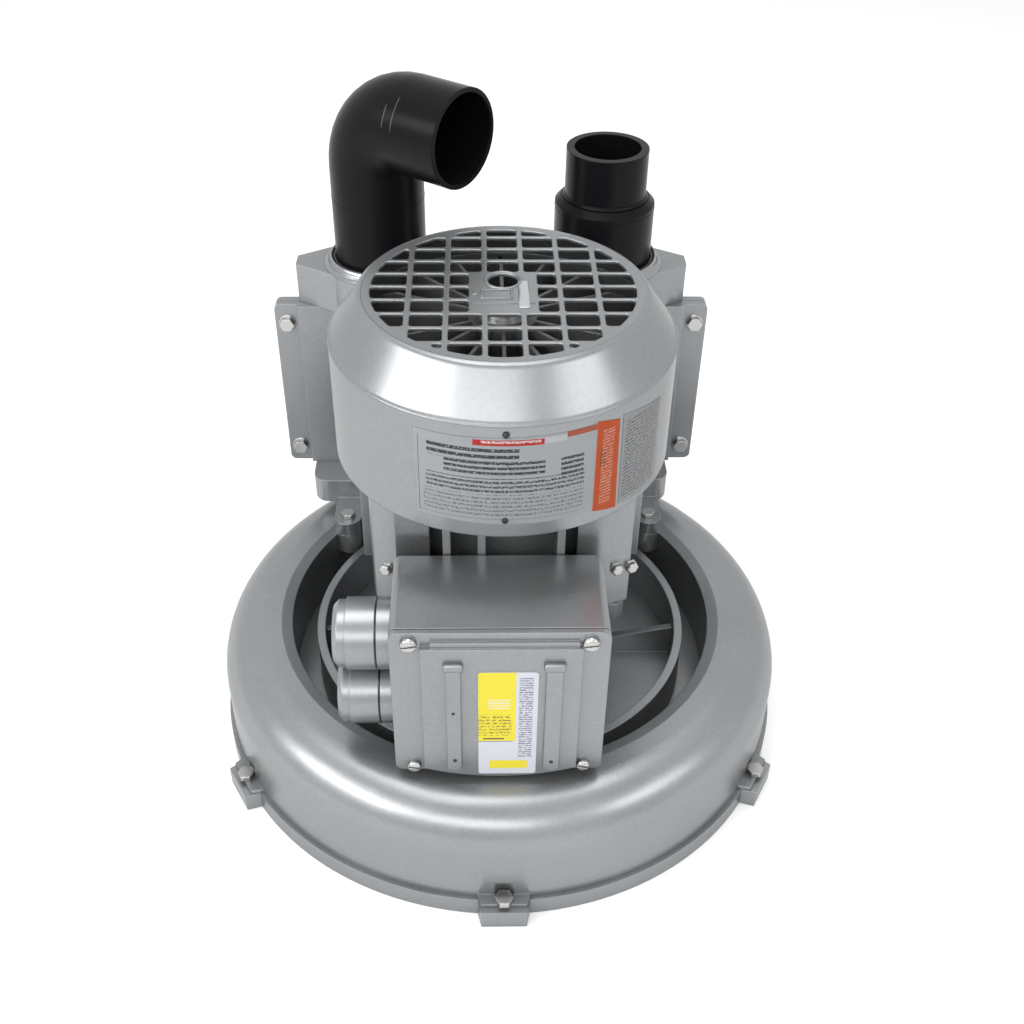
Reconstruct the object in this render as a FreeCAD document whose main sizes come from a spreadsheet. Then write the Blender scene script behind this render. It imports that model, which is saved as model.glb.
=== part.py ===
import FreeCAD, Part
import math
import os

import Sketcher

# Side channel blower that stands on its impeller cover.
# The shaft is vertical on the Z axis, the terminal box faces -Y and the silencer stands at +Y.
# Z = 0 is the floor, and all sizes are millimetres.

SIZES = (
    # impeller cover and its lugs
    ("cover_radius", 210, "outer radius of the impeller cover"),
    ("cover_thickness", 14.5, "height of the joint between cover and housing"),
    ("cover_recess_radius", 150, "radius of the hollow under the cover"),
    ("cover_recess_depth", 3, "depth of the hollow under the cover"),
    ("cover_pocket_radius", 34, "pocket over the impeller bolt"),
    ("cover_pocket_floor", 9, "height of that pocket's floor"),
    ("cover_groove_depth", 6, "depth of the side channel in the cover"),
    ("cover_rib_width", 6, "ribs under the cover"),
    ("lug_count", 6, "screw lugs round the cover"),
    ("lug_reach", 219.5, "radius of the outer face of a lug"),
    ("lug_width", 30, "width of a lug at its outer face"),
    ("lug_root_width", 38, "width of a lug at the rim"),
    ("lug_screw_circle", 212, "radius of the circle of cover screws"),
    ("lip_thickness", 3, "thickness of the housing lip over each lug"),
    # side channel housing
    ("ring_radius", 207, "outer radius of the housing wall"),
    ("ring_shoulder", 32, "radius of the rounded shoulder"),
    ("ring_top", 88.5, "height of the top of the housing"),
    ("ring_wall", 6, "casting wall"),
    ("opening_radius", 155.3, "radius of the opening in the top"),
    ("opening_drop", 2, "fall of the top towards the opening"),
    ("floor_height", 38, "height of the floor in the opening"),
    ("rib_ring_radius", 138, "outer radius of the ring wall on the floor"),
    ("rib_ring_height", 75, "height of the top of that ring wall"),
    ("rib_count", 6, "radial ribs on the floor"),
    ("rib_width", 5, "thickness of a radial rib"),
    ("boss_radius", 80, "radius of the motor seat"),
    ("boss_top", 70, "height of the motor seat"),
    ("boss_hollow_radius", 60, "hollow over the impeller hub"),
    ("seal_radius", 26, "outer radius of the shaft seal"),
    ("riser_radius", 31, "outer radius of a port riser"),
    ("riser_bore", 23, "bore of a port riser"),
    ("riser_top", 96, "height of the risers and of the silencer base"),
    ("stripper_angle", 24, "angle of the block between inlet and outlet, in degrees"),
    ("stripper_gap", 2, "gap between that block and the impeller blades"),
    ("foot_x", 121, "place of the silencer foot screws"),
    ("foot_y", 91, "place of the silencer foot screws"),
    ("foot_radius", 11, "radius of a silencer foot"),
    # impeller
    ("impeller_bottom", 20, "height of the underside of the impeller"),
    ("impeller_gap", 1.7, "gap between impeller and channel walls"),
    ("impeller_plate", 5, "thickness of the impeller plate"),
    ("impeller_hub_radius", 30, "radius of the impeller hub"),
    ("impeller_hub_top", 56, "height of the impeller hub"),
    ("blade_top", 48, "height of the impeller blades"),
    ("blade_thickness", 3, "thickness of an impeller blade"),
    ("blade_count", 30, "impeller blades"),
    # shaft line
    ("shaft_nose", 12, "shaft radius in the impeller and in the fan"),
    ("shaft_seal_radius", 14, "shaft radius in the seal"),
    ("shaft_bearing_radius", 15, "shaft radius in the bearings"),
    ("shaft_core_radius", 18, "shaft radius in the rotor core"),
    ("shaft_top", 342, "height of the upper shaft end"),
    ("key_width", 8, "width of the impeller key"),
    ("key_height", 7, "height of the impeller key"),
    ("key_bottom", 25, "height of the lower end of the key"),
    ("key_length", 24, "length of the impeller key"),
    ("bolt_radius", 5, "impeller bolt, M10"),
    ("washer_thickness", 3, "impeller washer"),
    ("washer_radius", 20, "impeller washer"),
    ("fit_gap", 0.05, "radial clearance of a running or sliding fit"),
    # motor
    ("bearing_outer", 31, "outer radius of a bearing"),
    ("bearing_width", 16, "width of a bearing"),
    ("bearing_race", 4, "thickness of a bearing ring"),
    ("drive_bearing_bottom", 74, "height of the drive end bearing"),
    ("fan_bearing_bottom", 238, "height of the fan end bearing"),
    ("shield_flange", 84, "radius of the drive end shield flange"),
    ("shield_bolt_circle", 70, "radius of the circle of flange bolts"),
    ("shield_plate", 10, "thickness of the drive end shield flange"),
    ("frame_bottom", 150, "height of the lower end of the motor frame"),
    ("frame_top", 250, "height of the upper end of the motor frame"),
    ("frame_radius", 84, "radius of the motor frame between the fins"),
    ("fin_reach", 97, "radius reached by the cooling fins"),
    ("fin_width", 5, "thickness of a cooling fin"),
    ("stator_radius", 76, "outer radius of the stator core"),
    ("rotor_radius", 46, "outer radius of the rotor core"),
    ("air_gap", 0.5, "gap between rotor and stator"),
    ("core_bottom", 158, "height of the lower end of both cores"),
    ("core_length", 70, "length of both cores"),
    ("winding_reach", 14, "length of the end turns"),
    ("corner_x", 76, "place of the tie rods"),
    ("corner_y", 62, "place of the tie rods"),
    ("tie_radius", 3, "tie rod, M6"),
    ("end_plate", 12, "thickness of the fan end shield"),
    # cowl and guard
    ("cowl_radius", 111.1, "outer radius of the fan cowl"),
    ("cowl_sheet", 2, "sheet of the cowl and of the guard"),
    ("cowl_bottom", 243.3, "height of the lower edge of the cowl"),
    ("cowl_shoulder", 322.9, "height of the joint between cowl and guard"),
    ("guard_top", 352.5, "height of the top of the guard"),
    ("guard_rim_radius", 90.8, "radius of the flat top of the guard"),
    ("grille_radius", 83.4, "radius of the open grille"),
    ("grille_corner", 3.2, "rounding in the corners of the grille holes"),
    ("grille_plate", 2.5, "thickness of the grille bars"),
    ("row_pitch", 17.3, "pitch of the bars along X"),
    ("row_shift", 3, "place of the middle bar along X"),
    ("row_width", 4, "width of the bars along X"),
    ("column_pitch", 23.5, "pitch of the bars along Y"),
    ("column_width", 4.4, "width of the bars along Y"),
    ("hub_plate_half", 21, "half width of the plate in the grille"),
    ("hub_hole_radius", 9.5, "hole in that plate"),
    ("hub_hole_y", 10, "place of that hole"),
    ("guard_skirt", 16, "depth of the guard inside the cowl"),
    # fan
    ("fan_radius", 95, "radius of the cooling fan"),
    ("fan_bottom", 286, "height of the fan disc"),
    ("fan_top", 334, "height of the fan blades"),
    ("fan_disc", 3, "thickness of the fan disc"),
    ("fan_hub_radius", 22, "radius of the fan hub"),
    ("fan_blade_thickness", 2.4, "thickness of a fan blade"),
    ("fan_blade_count", 16, "fan blades"),
    # terminal box
    ("box_shift", -3.5, "place of the terminal box across"),
    ("box_half", 66, "half width of the terminal box"),
    ("box_bottom", 95, "height of the underside of the box"),
    ("box_top", 215, "height of the top of the box"),
    ("box_back", -95, "back of the box"),
    ("box_front", -161.5, "front edge of the box"),
    ("box_wall", 3.5, "wall of the box and of its cover"),
    ("gasket", 0.5, "thickness of the gaskets"),
    ("lid_depth", 4, "depth of the box cover"),
    ("panel_height", 3.5, "height of the raised panel on the cover"),
    ("rib_height", 3, "height of the pressed ribs on the cover"),
    ("lid_screw_x", 54, "place of the cover screws"),
    ("lid_screw_low", 99.8, "height of the lower cover screws"),
    ("lid_screw_high", 207, "height of the upper cover screws"),
    ("seat_half", 46, "half width of the box seat on the frame"),
    ("entry_y", -125, "place of the cable entries"),
    ("entry_low", 128, "height of the lower cable entry"),
    ("entry_high", 177, "height of the upper cable entry"),
    ("entry_radius", 23, "radius of a cable entry"),
    ("entry_boss", 10, "length of the boss of an entry"),
    ("plug_length", 27, "length of a cable plug outside the box"),
    # silencer
    ("port_shift", -5.5, "place of the middle between the ports"),
    ("port_half", 82.8, "half the distance between the ports"),
    ("port_y", 160, "place of the ports"),
    ("silencer_half", 145, "half width of the silencer"),
    ("silencer_bottom", 117, "height of the underside of the flange"),
    ("silencer_top", 261, "height of the top of the silencer"),
    ("silencer_front", 153.5, "joint face of the silencer body"),
    ("silencer_back", 213, "back of the silencer"),
    ("silencer_wall", 5, "wall of the silencer"),
    ("flange_half", 166, "half width of the silencer flange"),
    ("flange_thickness", 6.5, "thickness of the silencer flange"),
    ("cover_plate", 5.5, "thickness of the silencer cover"),
    ("cover_bulge", 4, "height of the bulge on the silencer cover"),
    ("base_front", 116, "front of the silencer base"),
    ("flange_bolt_x", 157, "place of the silencer cover bolts"),
    ("flange_bolt_low", 131, "height of the lower silencer bolts"),
    ("flange_bolt_high", 245, "height of the upper silencer bolts"),
    ("neck_radius", 42, "radius of a port neck"),
    ("neck_top", 295, "height of the port necks"),
    ("neck_seat", 272, "height of the seat in a port neck"),
    ("ear_reach", 64, "reach of the ears of a port neck"),
    # pipes
    ("elbow_radius", 33.8, "outer radius of the outlet elbow"),
    ("pipe_wall", 3.2, "wall of the plastic pipes"),
    ("elbow_axis", 404, "height of the axis of the outlet"),
    ("elbow_bend", 36, "bend radius of the outlet elbow"),
    ("elbow_leg", 43.5, "straight length of the outlet leg"),
    ("elbow_turn", -37.4, "direction of the outlet in degrees"),
    ("collar_radius", 36.5, "radius of the inlet collar"),
    ("collar_top", 340, "height of the inlet collar"),
    ("collar_chamfer", 4, "chamfer of the inlet collar"),
    ("spigot_radius", 29.6, "outer radius of the hose spigot"),
    ("spigot_bore", 24, "bore of the hose spigot"),
    ("spigot_top", 380, "height of the hose spigot"),
    ("spigot_step", 0.6, "how much thinner the spigot is in the collar"),
    ("spigot_depth", 18, "depth of the spigot in the collar"),
)


class Size:
    """A length that knows its value and the sheet expression behind it."""

    def __init__(self, value, text):
        self.value = value
        self.text = text

    def __add__(self, other):
        return Size(self.value + number(other), f"({self.text} + {text_of(other)})")

    def __radd__(self, other):
        return Size(number(other) + self.value, f"({text_of(other)} + {self.text})")

    def __sub__(self, other):
        return Size(self.value - number(other), f"({self.text} - {text_of(other)})")

    def __rsub__(self, other):
        return Size(number(other) - self.value, f"({text_of(other)} - {self.text})")

    def __mul__(self, other):
        return Size(self.value * number(other), f"({self.text} * {text_of(other)})")

    def __rmul__(self, other):
        return self * other

    def __truediv__(self, other):
        return Size(self.value / number(other), f"({self.text} / {text_of(other)})")

    def __neg__(self):
        return Size(-self.value, f"(0 - {self.text})")

    def root(self):
        return Size(math.sqrt(self.value), f"sqrt({self.text})")


def number(value):
    return value.value if isinstance(value, Size) else float(value)


def text_of(value):
    return value.text if isinstance(value, Size) else repr(float(value))


def bind(thing, prop, value):
    """Tie a property, or one part of it, to the sheet."""
    thing.setExpression(prop, text_of(value))


doc = FreeCAD.newDocument("SideChannelBlower")
sheet = doc.addObject("Spreadsheet::Sheet", "Sizes")


class Sheet:
    """The driving dimensions by name."""


s = Sheet()
for row, (alias, value, note) in enumerate(SIZES, 1):
    sheet.set(f"A{row}", alias)
    sheet.set(f"B{row}", str(value))
    sheet.setAlias(f"B{row}", alias)
    sheet.set(f"C{row}", note)
    setattr(s, alias, Size(float(value), f"Sizes.{alias}"))
doc.recompute()

nodes = []


def node(thing, label):
    """Name a finished sub-part."""
    thing.Label = label
    nodes.append(thing)
    return thing


# Sketch and feature helpers


def origin_item(body, role):
    return next(item for item in body.Origin.OriginFeatures if item.Role == role)


class Bend:
    """An arc to the corner (x, y) about a centre; turn is 1 when it runs anticlockwise."""

    def __init__(self, x, y, centre, radius, turn):
        self.corner = (x, y)
        self.centre = centre
        self.radius = radius
        self.turn = turn


class Outline:
    """Closed outlines on one origin plane of a body, with every corner tied to the sheet."""

    PLANES = {"top": ("XY_Plane", 1), "front": ("XZ_Plane", -1), "side": ("YZ_Plane", 1)}

    def __init__(self, body, name, plane, at=0):
        role, sense = self.PLANES[plane]
        self.sketch = body.newObject("Sketcher::SketchObject", name)
        self.sketch.AttachmentSupport = [(origin_item(body, role), "")]
        self.sketch.MapMode = "FlatFace"
        bind(self.sketch, "AttachmentOffset.Base.z", at * sense if sense < 0 else at)

    def tie(self, geometry, end, x, y):
        for axis, kind, value in ((-2, "DistanceX", x), (-1, "DistanceY", y)):
            amount = number(value)
            if abs(amount) < 1e-9:
                self.sketch.addConstraint(Sketcher.Constraint("PointOnObject", geometry, end, axis))
                continue
            first, second = ((-1, 1), (geometry, end)) if amount > 0 else ((geometry, end), (-1, 1))
            index = self.sketch.addConstraint(Sketcher.Constraint(kind, *first, *second, abs(amount)))
            if isinstance(value, Size):
                bind(self.sketch, f"Constraints[{index}]", value if amount > 0 else -value)

    def path(self, corners, closed=True):
        """Join the corners with lines, or with arcs where a corner is a Bend."""
        plain = [c.corner if isinstance(c, Bend) else c for c in corners]
        points = [FreeCAD.Vector(number(x), number(y), 0) for x, y in plain]
        ends = []
        first_corner = 0 if closed else 1
        for index in range(first_corner, len(corners)):
            corner = corners[index]
            start, finish = points[index - 1], points[index]
            if isinstance(corner, Bend):
                middle = FreeCAD.Vector(number(corner.centre[0]), number(corner.centre[1]), 0)
                circle = Part.Circle(middle, FreeCAD.Vector(0, 0, 1), number(corner.radius))
                first, last = (start, finish) if corner.turn > 0 else (finish, start)
                angles = [math.atan2(p.y - middle.y, p.x - middle.x) for p in (first, last)]
                geometry = self.sketch.addGeometry(Part.ArcOfCircle(circle, *angles), False)
                bound = self.sketch.addConstraint(
                    Sketcher.Constraint("Radius", geometry, number(corner.radius)))
                if isinstance(corner.radius, Size):
                    bind(self.sketch, f"Constraints[{bound}]", corner.radius)
                ends.append((geometry, 1, 2) if corner.turn > 0 else (geometry, 2, 1))
            else:
                geometry = self.sketch.addGeometry(Part.LineSegment(start, finish), False)
                ends.append((geometry, 1, 2))
        if not closed:
            self.tie(ends[0][0], ends[0][1], *plain[0])
        for index, (geometry, first, last) in enumerate(ends):
            if closed or index + 1 < len(ends):
                after = ends[(index + 1) % len(ends)]
                self.sketch.addConstraint(
                    Sketcher.Constraint("Coincident", geometry, last, after[0], after[1]))
            self.tie(geometry, last, *plain[index + first_corner])
        return self

    def box(self, left, right, low, high):
        return self.path([(left, low), (right, low), (right, high), (left, high)])

    def rounded_box(self, left, right, low, high, radius):
        return self.path([
            (right - radius, low),
            Bend(right, low + radius, (right - radius, low + radius), radius, 1),
            (right, high - radius),
            Bend(right - radius, high, (right - radius, high - radius), radius, 1),
            (left + radius, high),
            Bend(left, high - radius, (left + radius, high - radius), radius, 1),
            (left, low + radius),
            Bend(left + radius, low, (left + radius, low + radius), radius, 1),
        ])

    def circle(self, x, y, radius):
        middle = FreeCAD.Vector(number(x), number(y), 0)
        shape = Part.Circle(middle, FreeCAD.Vector(0, 0, 1), number(radius))
        geometry = self.sketch.addGeometry(shape, False)
        index = self.sketch.addConstraint(Sketcher.Constraint("Radius", geometry, number(radius)))
        if isinstance(radius, Size):
            bind(self.sketch, f"Constraints[{index}]", radius)
        self.tie(geometry, 3, x, y)
        return self


def new_body(label):
    return node(doc.addObject("PartDesign::Body", "Body_" + label), label)


def pad(body, name, plane, at, length, draw):
    """Extrude an outline: up from 'top', to the front from 'front', to +X from 'side'."""
    outline = Outline(body, name + "_outline", plane, at)
    draw(outline)
    feature = body.newObject("PartDesign::Pad", name)
    feature.Profile = outline.sketch
    bind(feature, "Length", length)
    outline.sketch.Visibility = False
    doc.recompute()
    return feature


def pocket(body, name, plane, at, length, draw, reverse=False):
    """Cut an outline: down from 'top', to the back from 'front', to -X from 'side'."""
    before = body.Shape.Volume
    outline = Outline(body, name + "_outline", plane, at)
    draw(outline)
    feature = body.newObject("PartDesign::Pocket", name)
    feature.Profile = outline.sketch
    feature.Reversed = reverse
    bind(feature, "Length", length)
    doc.recompute()
    if not body.Shape.Volume < before - 0.01:
        raise RuntimeError(f"{name} removes nothing")
    return feature


def revolve(body, name, corners, plane="front", angle=None):
    """Turn an outline of (radius, height) corners round the Z axis, fully or to both sides."""
    outline = Outline(body, name + "_outline", plane).path(corners)
    feature = body.newObject("PartDesign::Revolution", name)
    feature.Profile = outline.sketch
    feature.ReferenceAxis = (outline.sketch, ["V_Axis"])
    if angle is not None:
        bind(feature, "Angle", angle)
        feature.Midplane = True
    doc.recompute()
    return feature


def polar(body, name, features, count):
    """Repeat features round the Z axis."""
    pattern = body.newObject("PartDesign::PolarPattern", name)
    pattern.Originals = features
    pattern.Axis = (origin_item(body, "Z_Axis"), [""])
    pattern.Angle = 360
    bind(pattern, "Occurrences", count)
    body.Tip = pattern
    doc.recompute()
    return pattern


def turned(label, corners):
    """A sub-part that is one turned ring or disc."""
    body = new_body(label)
    revolve(body, label + "_turning", corners)
    return body


def ring(label, inner, outer, bottom, top):
    return turned(label, [(inner, bottom), (outer, bottom), (outer, top), (inner, top)])


def place(thing, x, y, z, turn=None):
    """Put a thing at a place that follows the sheet."""
    if turn is not None:
        thing.Placement = FreeCAD.Placement(FreeCAD.Vector(), turn)
    for axis, value in (("x", x), ("y", y), ("z", z)):
        bind(thing, f"Placement.Base.{axis}", value)
    return thing


def primitive(kind, name, **sizes):
    thing = doc.addObject("Part::" + kind, name)
    for prop, value in sizes.items():
        bind(thing, prop, value)
    return thing


FACING = {
    "up": FreeCAD.Rotation(),
    "down": FreeCAD.Rotation(FreeCAD.Vector(1, 0, 0), 180),
    "front": FreeCAD.Rotation(FreeCAD.Vector(1, 0, 0), 90),
    "back": FreeCAD.Rotation(FreeCAD.Vector(1, 0, 0), -90),
    "right": FreeCAD.Rotation(FreeCAD.Vector(0, 1, 0), 90),
    "left": FreeCAD.Rotation(FreeCAD.Vector(0, 1, 0), -90),
}


def screw(name, head_radius, head_height, radius, length, hexagonal=True):
    """A screw whose head stands on its own origin and whose shank points to -Z."""
    if hexagonal:
        head = primitive("Prism", name + "_head", Circumradius=head_radius, Height=head_height)
        head.Polygon = 6
    else:
        head = primitive("Cylinder", name + "_head", Radius=head_radius, Height=head_height)
    shank = primitive("Cylinder", name + "_shank", Radius=radius, Height=length)
    place(shank, 0, 0, -1 * length if isinstance(length, Size) else -length)
    joined = doc.addObject("Part::Fuse", name)
    joined.Base = head
    joined.Tool = shank
    return joined


def screws(label, spots, head_radius, head_height, radius, length, hexagonal=True):
    """Equal screws at (x, y, z, facing) spots as one group of separate solids."""
    group = doc.addObject("Part::Compound", "Group_" + label)
    links = []
    for index, (x, y, z, facing) in enumerate(spots):
        item = screw(f"{label}_{index}", head_radius, head_height, radius, length, hexagonal)
        turn = FACING[facing] if isinstance(facing, str) else facing
        links.append(place(item, x, y, z, turn))
    group.Links = links
    doc.recompute()
    return node(group, label)


def group_of(label, links):
    group = doc.addObject("Part::Compound", "Group_" + label)
    group.Links = links
    doc.recompute()
    return node(group, label)


def on_circle(radius, degrees):
    """A place on a circle round the shaft."""
    angle = math.radians(degrees)
    return radius * math.cos(angle), radius * math.sin(angle)


FRONT_ANGLE = -90
LUG_STEP = 60
CORNERS = ((-1, -1), (1, -1), (1, 1), (-1, 1))


# Impeller cover: turned plate with the lower side channel, ribs underneath and six lugs

groove_outer = s.ring_radius - s.ring_wall
groove_inner = s.opening_radius + s.ring_wall
groove_half = (groove_outer - groove_inner) / 2
groove_radius = (groove_half * groove_half + s.cover_groove_depth * s.cover_groove_depth) / (
    2 * s.cover_groove_depth)
groove_middle = (groove_outer + groove_inner) / 2

cover = new_body("impeller_cover")
revolve(cover, "cover_plate_turning", [
    (0, s.cover_recess_depth),
    (s.cover_recess_radius, s.cover_recess_depth),
    (s.cover_recess_radius, 0),
    (s.cover_radius, 0),
    (s.cover_radius, s.cover_thickness),
    (groove_outer, s.cover_thickness),
    Bend(groove_inner, s.cover_thickness,
         (groove_middle, s.cover_thickness + groove_radius - s.cover_groove_depth),
         groove_radius, -1),
    (s.cover_pocket_radius, s.cover_thickness),
    (s.cover_pocket_radius, s.cover_pocket_floor),
    (0, s.cover_pocket_floor),
])
cover_rib = pad(
    cover, "cover_rib", "top", s.cover_recess_depth / 5, s.cover_recess_depth * 0.9,
    lambda o: o.box(-s.cover_rib_width / 2, s.cover_rib_width / 2,
                    -s.cover_recess_radius - 1, -s.cover_pocket_radius))
polar(cover, "cover_ribs", [cover_rib], s.lug_count)
lug_root = s.cover_radius - 8
cover_lug = pad(
    cover, "cover_lug", "top", 0, s.cover_thickness,
    lambda o: o.path([(-s.lug_root_width / 2, -lug_root), (-s.lug_width / 2, -s.lug_reach),
                      (s.lug_width / 2, -s.lug_reach), (s.lug_root_width / 2, -lug_root)]))
polar(cover, "cover_lugs", [cover_lug], s.lug_count)
lug_bore = s.tie_radius
cover_thread = pocket(
    cover, "cover_thread", "top", s.cover_thickness, s.cover_thickness - 2,
    lambda o: o.circle(0, -s.lug_screw_circle, lug_bore))
polar(cover, "cover_threads", [cover_thread], s.lug_count)


# Side channel housing: turned ring, floor, ring wall and motor seat, with ribs, lips and risers

shoulder_middle = (s.ring_radius - s.ring_shoulder, s.ring_top - s.ring_shoulder)
channel_top = s.ring_top - s.ring_wall
floor_under = s.floor_height - s.ring_wall
boss_plate = s.boss_top - 12
channel_inner = s.opening_radius + s.ring_wall

housing = new_body("side_channel_housing")
revolve(housing, "housing_turning", [
    (s.seal_radius, s.boss_top),
    (s.seal_radius, boss_plate),
    (s.boss_hollow_radius, boss_plate),
    (s.boss_hollow_radius, floor_under),
    (channel_inner, floor_under),
    (channel_inner, channel_top),
    (shoulder_middle[0], channel_top),
    Bend(s.ring_radius - s.ring_wall, shoulder_middle[1], shoulder_middle,
         s.ring_shoulder - s.ring_wall, -1),
    (s.ring_radius - s.ring_wall, s.cover_thickness),
    (s.ring_radius, s.cover_thickness),
    (s.ring_radius, shoulder_middle[1]),
    Bend(shoulder_middle[0], s.ring_top, shoulder_middle, s.ring_shoulder, 1),
    (s.opening_radius + 8, s.ring_top),
    (s.opening_radius, s.ring_top - s.opening_drop),
    (s.opening_radius, s.floor_height),
    (s.rib_ring_radius, s.floor_height),
    (s.rib_ring_radius, s.rib_ring_height),
    (s.rib_ring_radius - s.ring_wall, s.rib_ring_height),
    (s.rib_ring_radius - s.ring_wall, s.floor_height),
    (s.boss_radius, s.floor_height),
    (s.boss_radius, s.boss_top),
])
rib_inner_height = s.boss_top - 18
rib_outer_height = s.rib_ring_height - 11
housing_rib = pad(
    housing, "housing_rib", "front", s.rib_width / 2, s.rib_width,
    lambda o: o.path([(s.boss_radius - 2, s.floor_height - 1),
                      (s.rib_ring_radius - 4, s.floor_height - 1),
                      (s.rib_ring_radius - 4, rib_outer_height),
                      (s.boss_radius - 2, rib_inner_height)]))
polar(housing, "housing_ribs", [housing_rib], s.rib_count)
lip_root = s.ring_radius - 4
lip_reach = s.lug_screw_circle + 3
housing_lip = pad(
    housing, "housing_lip", "top", s.cover_thickness, s.lip_thickness,
    lambda o: o.path([(-s.lug_root_width / 2, -lip_root), (-s.lug_width / 2, -lip_reach),
                      (s.lug_width / 2, -lip_reach), (s.lug_root_width / 2, -lip_root)]))
polar(housing, "housing_lips", [housing_lip], s.lug_count)
lip_hole = pocket(
    housing, "lip_hole", "top", s.cover_thickness + s.lip_thickness, s.lip_thickness,
    lambda o: o.circle(0, -s.lug_screw_circle, lug_bore + s.fit_gap))
polar(housing, "lip_holes", [lip_hole], s.lug_count)
scallop_height = 12
lip_top = s.cover_thickness + s.lip_thickness
lip_scallop = pocket(
    housing, "lip_scallop", "top", lip_top + scallop_height, scallop_height,
    lambda o: o.circle(0, -s.lug_screw_circle, 8))
polar(housing, "lip_scallops", [lip_scallop], s.lug_count)

# The stripper closes the channel between the ports, at +Y
stripper_under = s.blade_top + s.stripper_gap
into_wall = 2
revolve(housing, "stripper", [
    (channel_inner - into_wall, stripper_under),
    (s.ring_radius - s.ring_wall + into_wall, stripper_under),
    (s.ring_radius - s.ring_wall + into_wall, shoulder_middle[1]),
    Bend(shoulder_middle[0], channel_top + into_wall, shoulder_middle,
         s.ring_shoulder - s.ring_wall + into_wall, 1),
    (channel_inner - into_wall, channel_top + into_wall),
], plane="side", angle=s.stripper_angle)

port_x = (s.port_shift - s.port_half, s.port_shift + s.port_half)
pad(housing, "risers", "top", shoulder_middle[1], s.riser_top - shoulder_middle[1],
    lambda o: [o.circle(x, s.port_y, s.riser_radius) for x in port_x])
pocket(housing, "riser_bores", "top", s.riser_top, s.riser_top - shoulder_middle[1],
       lambda o: [o.circle(x, s.port_y, s.riser_bore) for x in port_x])
foot_pad_height = 18
pad(housing, "foot_pads", "top", s.ring_top - foot_pad_height, foot_pad_height,
    lambda o: [o.circle(side * s.foot_x, s.foot_y, s.foot_radius) for side in (-1, 1)])
pocket(housing, "foot_threads", "top", s.ring_top, foot_pad_height - 2,
       lambda o: [o.circle(side * s.foot_x, s.foot_y, s.tie_radius) for side in (-1, 1)])
flange_bolts = [on_circle(s.shield_bolt_circle, 45 + 90 * k) for k in range(4)]
flange_bolt_radius = s.tie_radius + 1
pocket(housing, "flange_threads", "top", s.boss_top, s.boss_top - s.floor_height,
       lambda o: [o.circle(x, y, flange_bolt_radius) for x, y in flange_bolts])


# Impeller: hub, plate, blade ring and straight radial blades

blade_inner = channel_inner + s.impeller_gap
blade_outer = s.ring_radius - s.ring_wall - s.impeller_gap
blade_root = s.impeller_bottom + s.impeller_plate

impeller = new_body("impeller")
revolve(impeller, "impeller_turning", [
    (s.shaft_nose, s.impeller_bottom),
    (blade_outer, s.impeller_bottom),
    (blade_outer, blade_root),
    (blade_inner + 4, blade_root),
    (blade_inner + 4, s.blade_top),
    (blade_inner, s.blade_top),
    (blade_inner, blade_root),
    (s.impeller_hub_radius, blade_root),
    (s.impeller_hub_radius, s.impeller_hub_top),
    (s.shaft_nose, s.impeller_hub_top),
])
blade = pad(
    impeller, "impeller_blade", "front", s.blade_thickness / 2, s.blade_thickness,
    lambda o: o.box(blade_inner + 2, blade_outer, blade_root - 1, s.blade_top))
polar(impeller, "impeller_blades", [blade], s.blade_count)
key_inner = s.shaft_nose - s.key_height / 2
key_outer = s.shaft_nose + s.key_height / 2
pocket(impeller, "hub_keyway", "top", s.impeller_hub_top, s.impeller_hub_top - s.impeller_bottom,
       lambda o: o.box(key_inner, key_outer, -s.key_width / 2, s.key_width / 2))


# Shaft line: shaft, key, washer and bolt, rotor core and seal

core_top = s.core_bottom + s.core_length
drive_bearing_top = s.drive_bearing_bottom + s.bearing_width
fan_bearing_top = s.fan_bearing_bottom + s.bearing_width
bolt_depth = 28

shaft = turned("motor_shaft", [
    (s.bolt_radius, s.impeller_bottom),
    (s.shaft_nose, s.impeller_bottom),
    (s.shaft_nose, s.impeller_hub_top),
    (s.shaft_seal_radius, s.impeller_hub_top),
    (s.shaft_seal_radius, s.drive_bearing_bottom),
    (s.shaft_bearing_radius, s.drive_bearing_bottom),
    (s.shaft_bearing_radius, drive_bearing_top),
    (s.shaft_core_radius, drive_bearing_top),
    (s.shaft_core_radius, s.fan_bearing_bottom),
    (s.shaft_bearing_radius, s.fan_bearing_bottom),
    (s.shaft_bearing_radius, fan_bearing_top),
    (s.shaft_nose, fan_bearing_top),
    (s.shaft_nose, s.shaft_top),
    (0, s.shaft_top),
    (0, s.impeller_bottom + bolt_depth),
    (s.bolt_radius, s.impeller_bottom + bolt_depth),
])
pocket(shaft, "shaft_keyway", "top", s.key_bottom + s.key_length, s.key_length,
       lambda o: o.box(key_inner, key_outer, -s.key_width / 2, s.key_width / 2))

key = new_body("impeller_key")
pad(key, "key_bar", "top", s.key_bottom, s.key_length,
    lambda o: o.box(key_inner, key_outer, -s.key_width / 2, s.key_width / 2))

washer_bottom = s.impeller_bottom - s.washer_thickness
ring("impeller_washer", s.bolt_radius, s.washer_radius, washer_bottom, s.impeller_bottom)
bolt_head_height = 6
screws("impeller_bolt", [(0, 0, washer_bottom, "down")], 9.8, bolt_head_height,
       s.bolt_radius, bolt_depth + s.washer_thickness - 2)
ring("rotor_core", s.shaft_core_radius, s.rotor_radius, s.core_bottom, core_top)
ring("shaft_seal", s.shaft_seal_radius + s.fit_gap, s.seal_radius, boss_plate + 2, s.boss_top - 2)


# Bearings: each has an outer ring in its shield and an inner ring on the shaft

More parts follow.
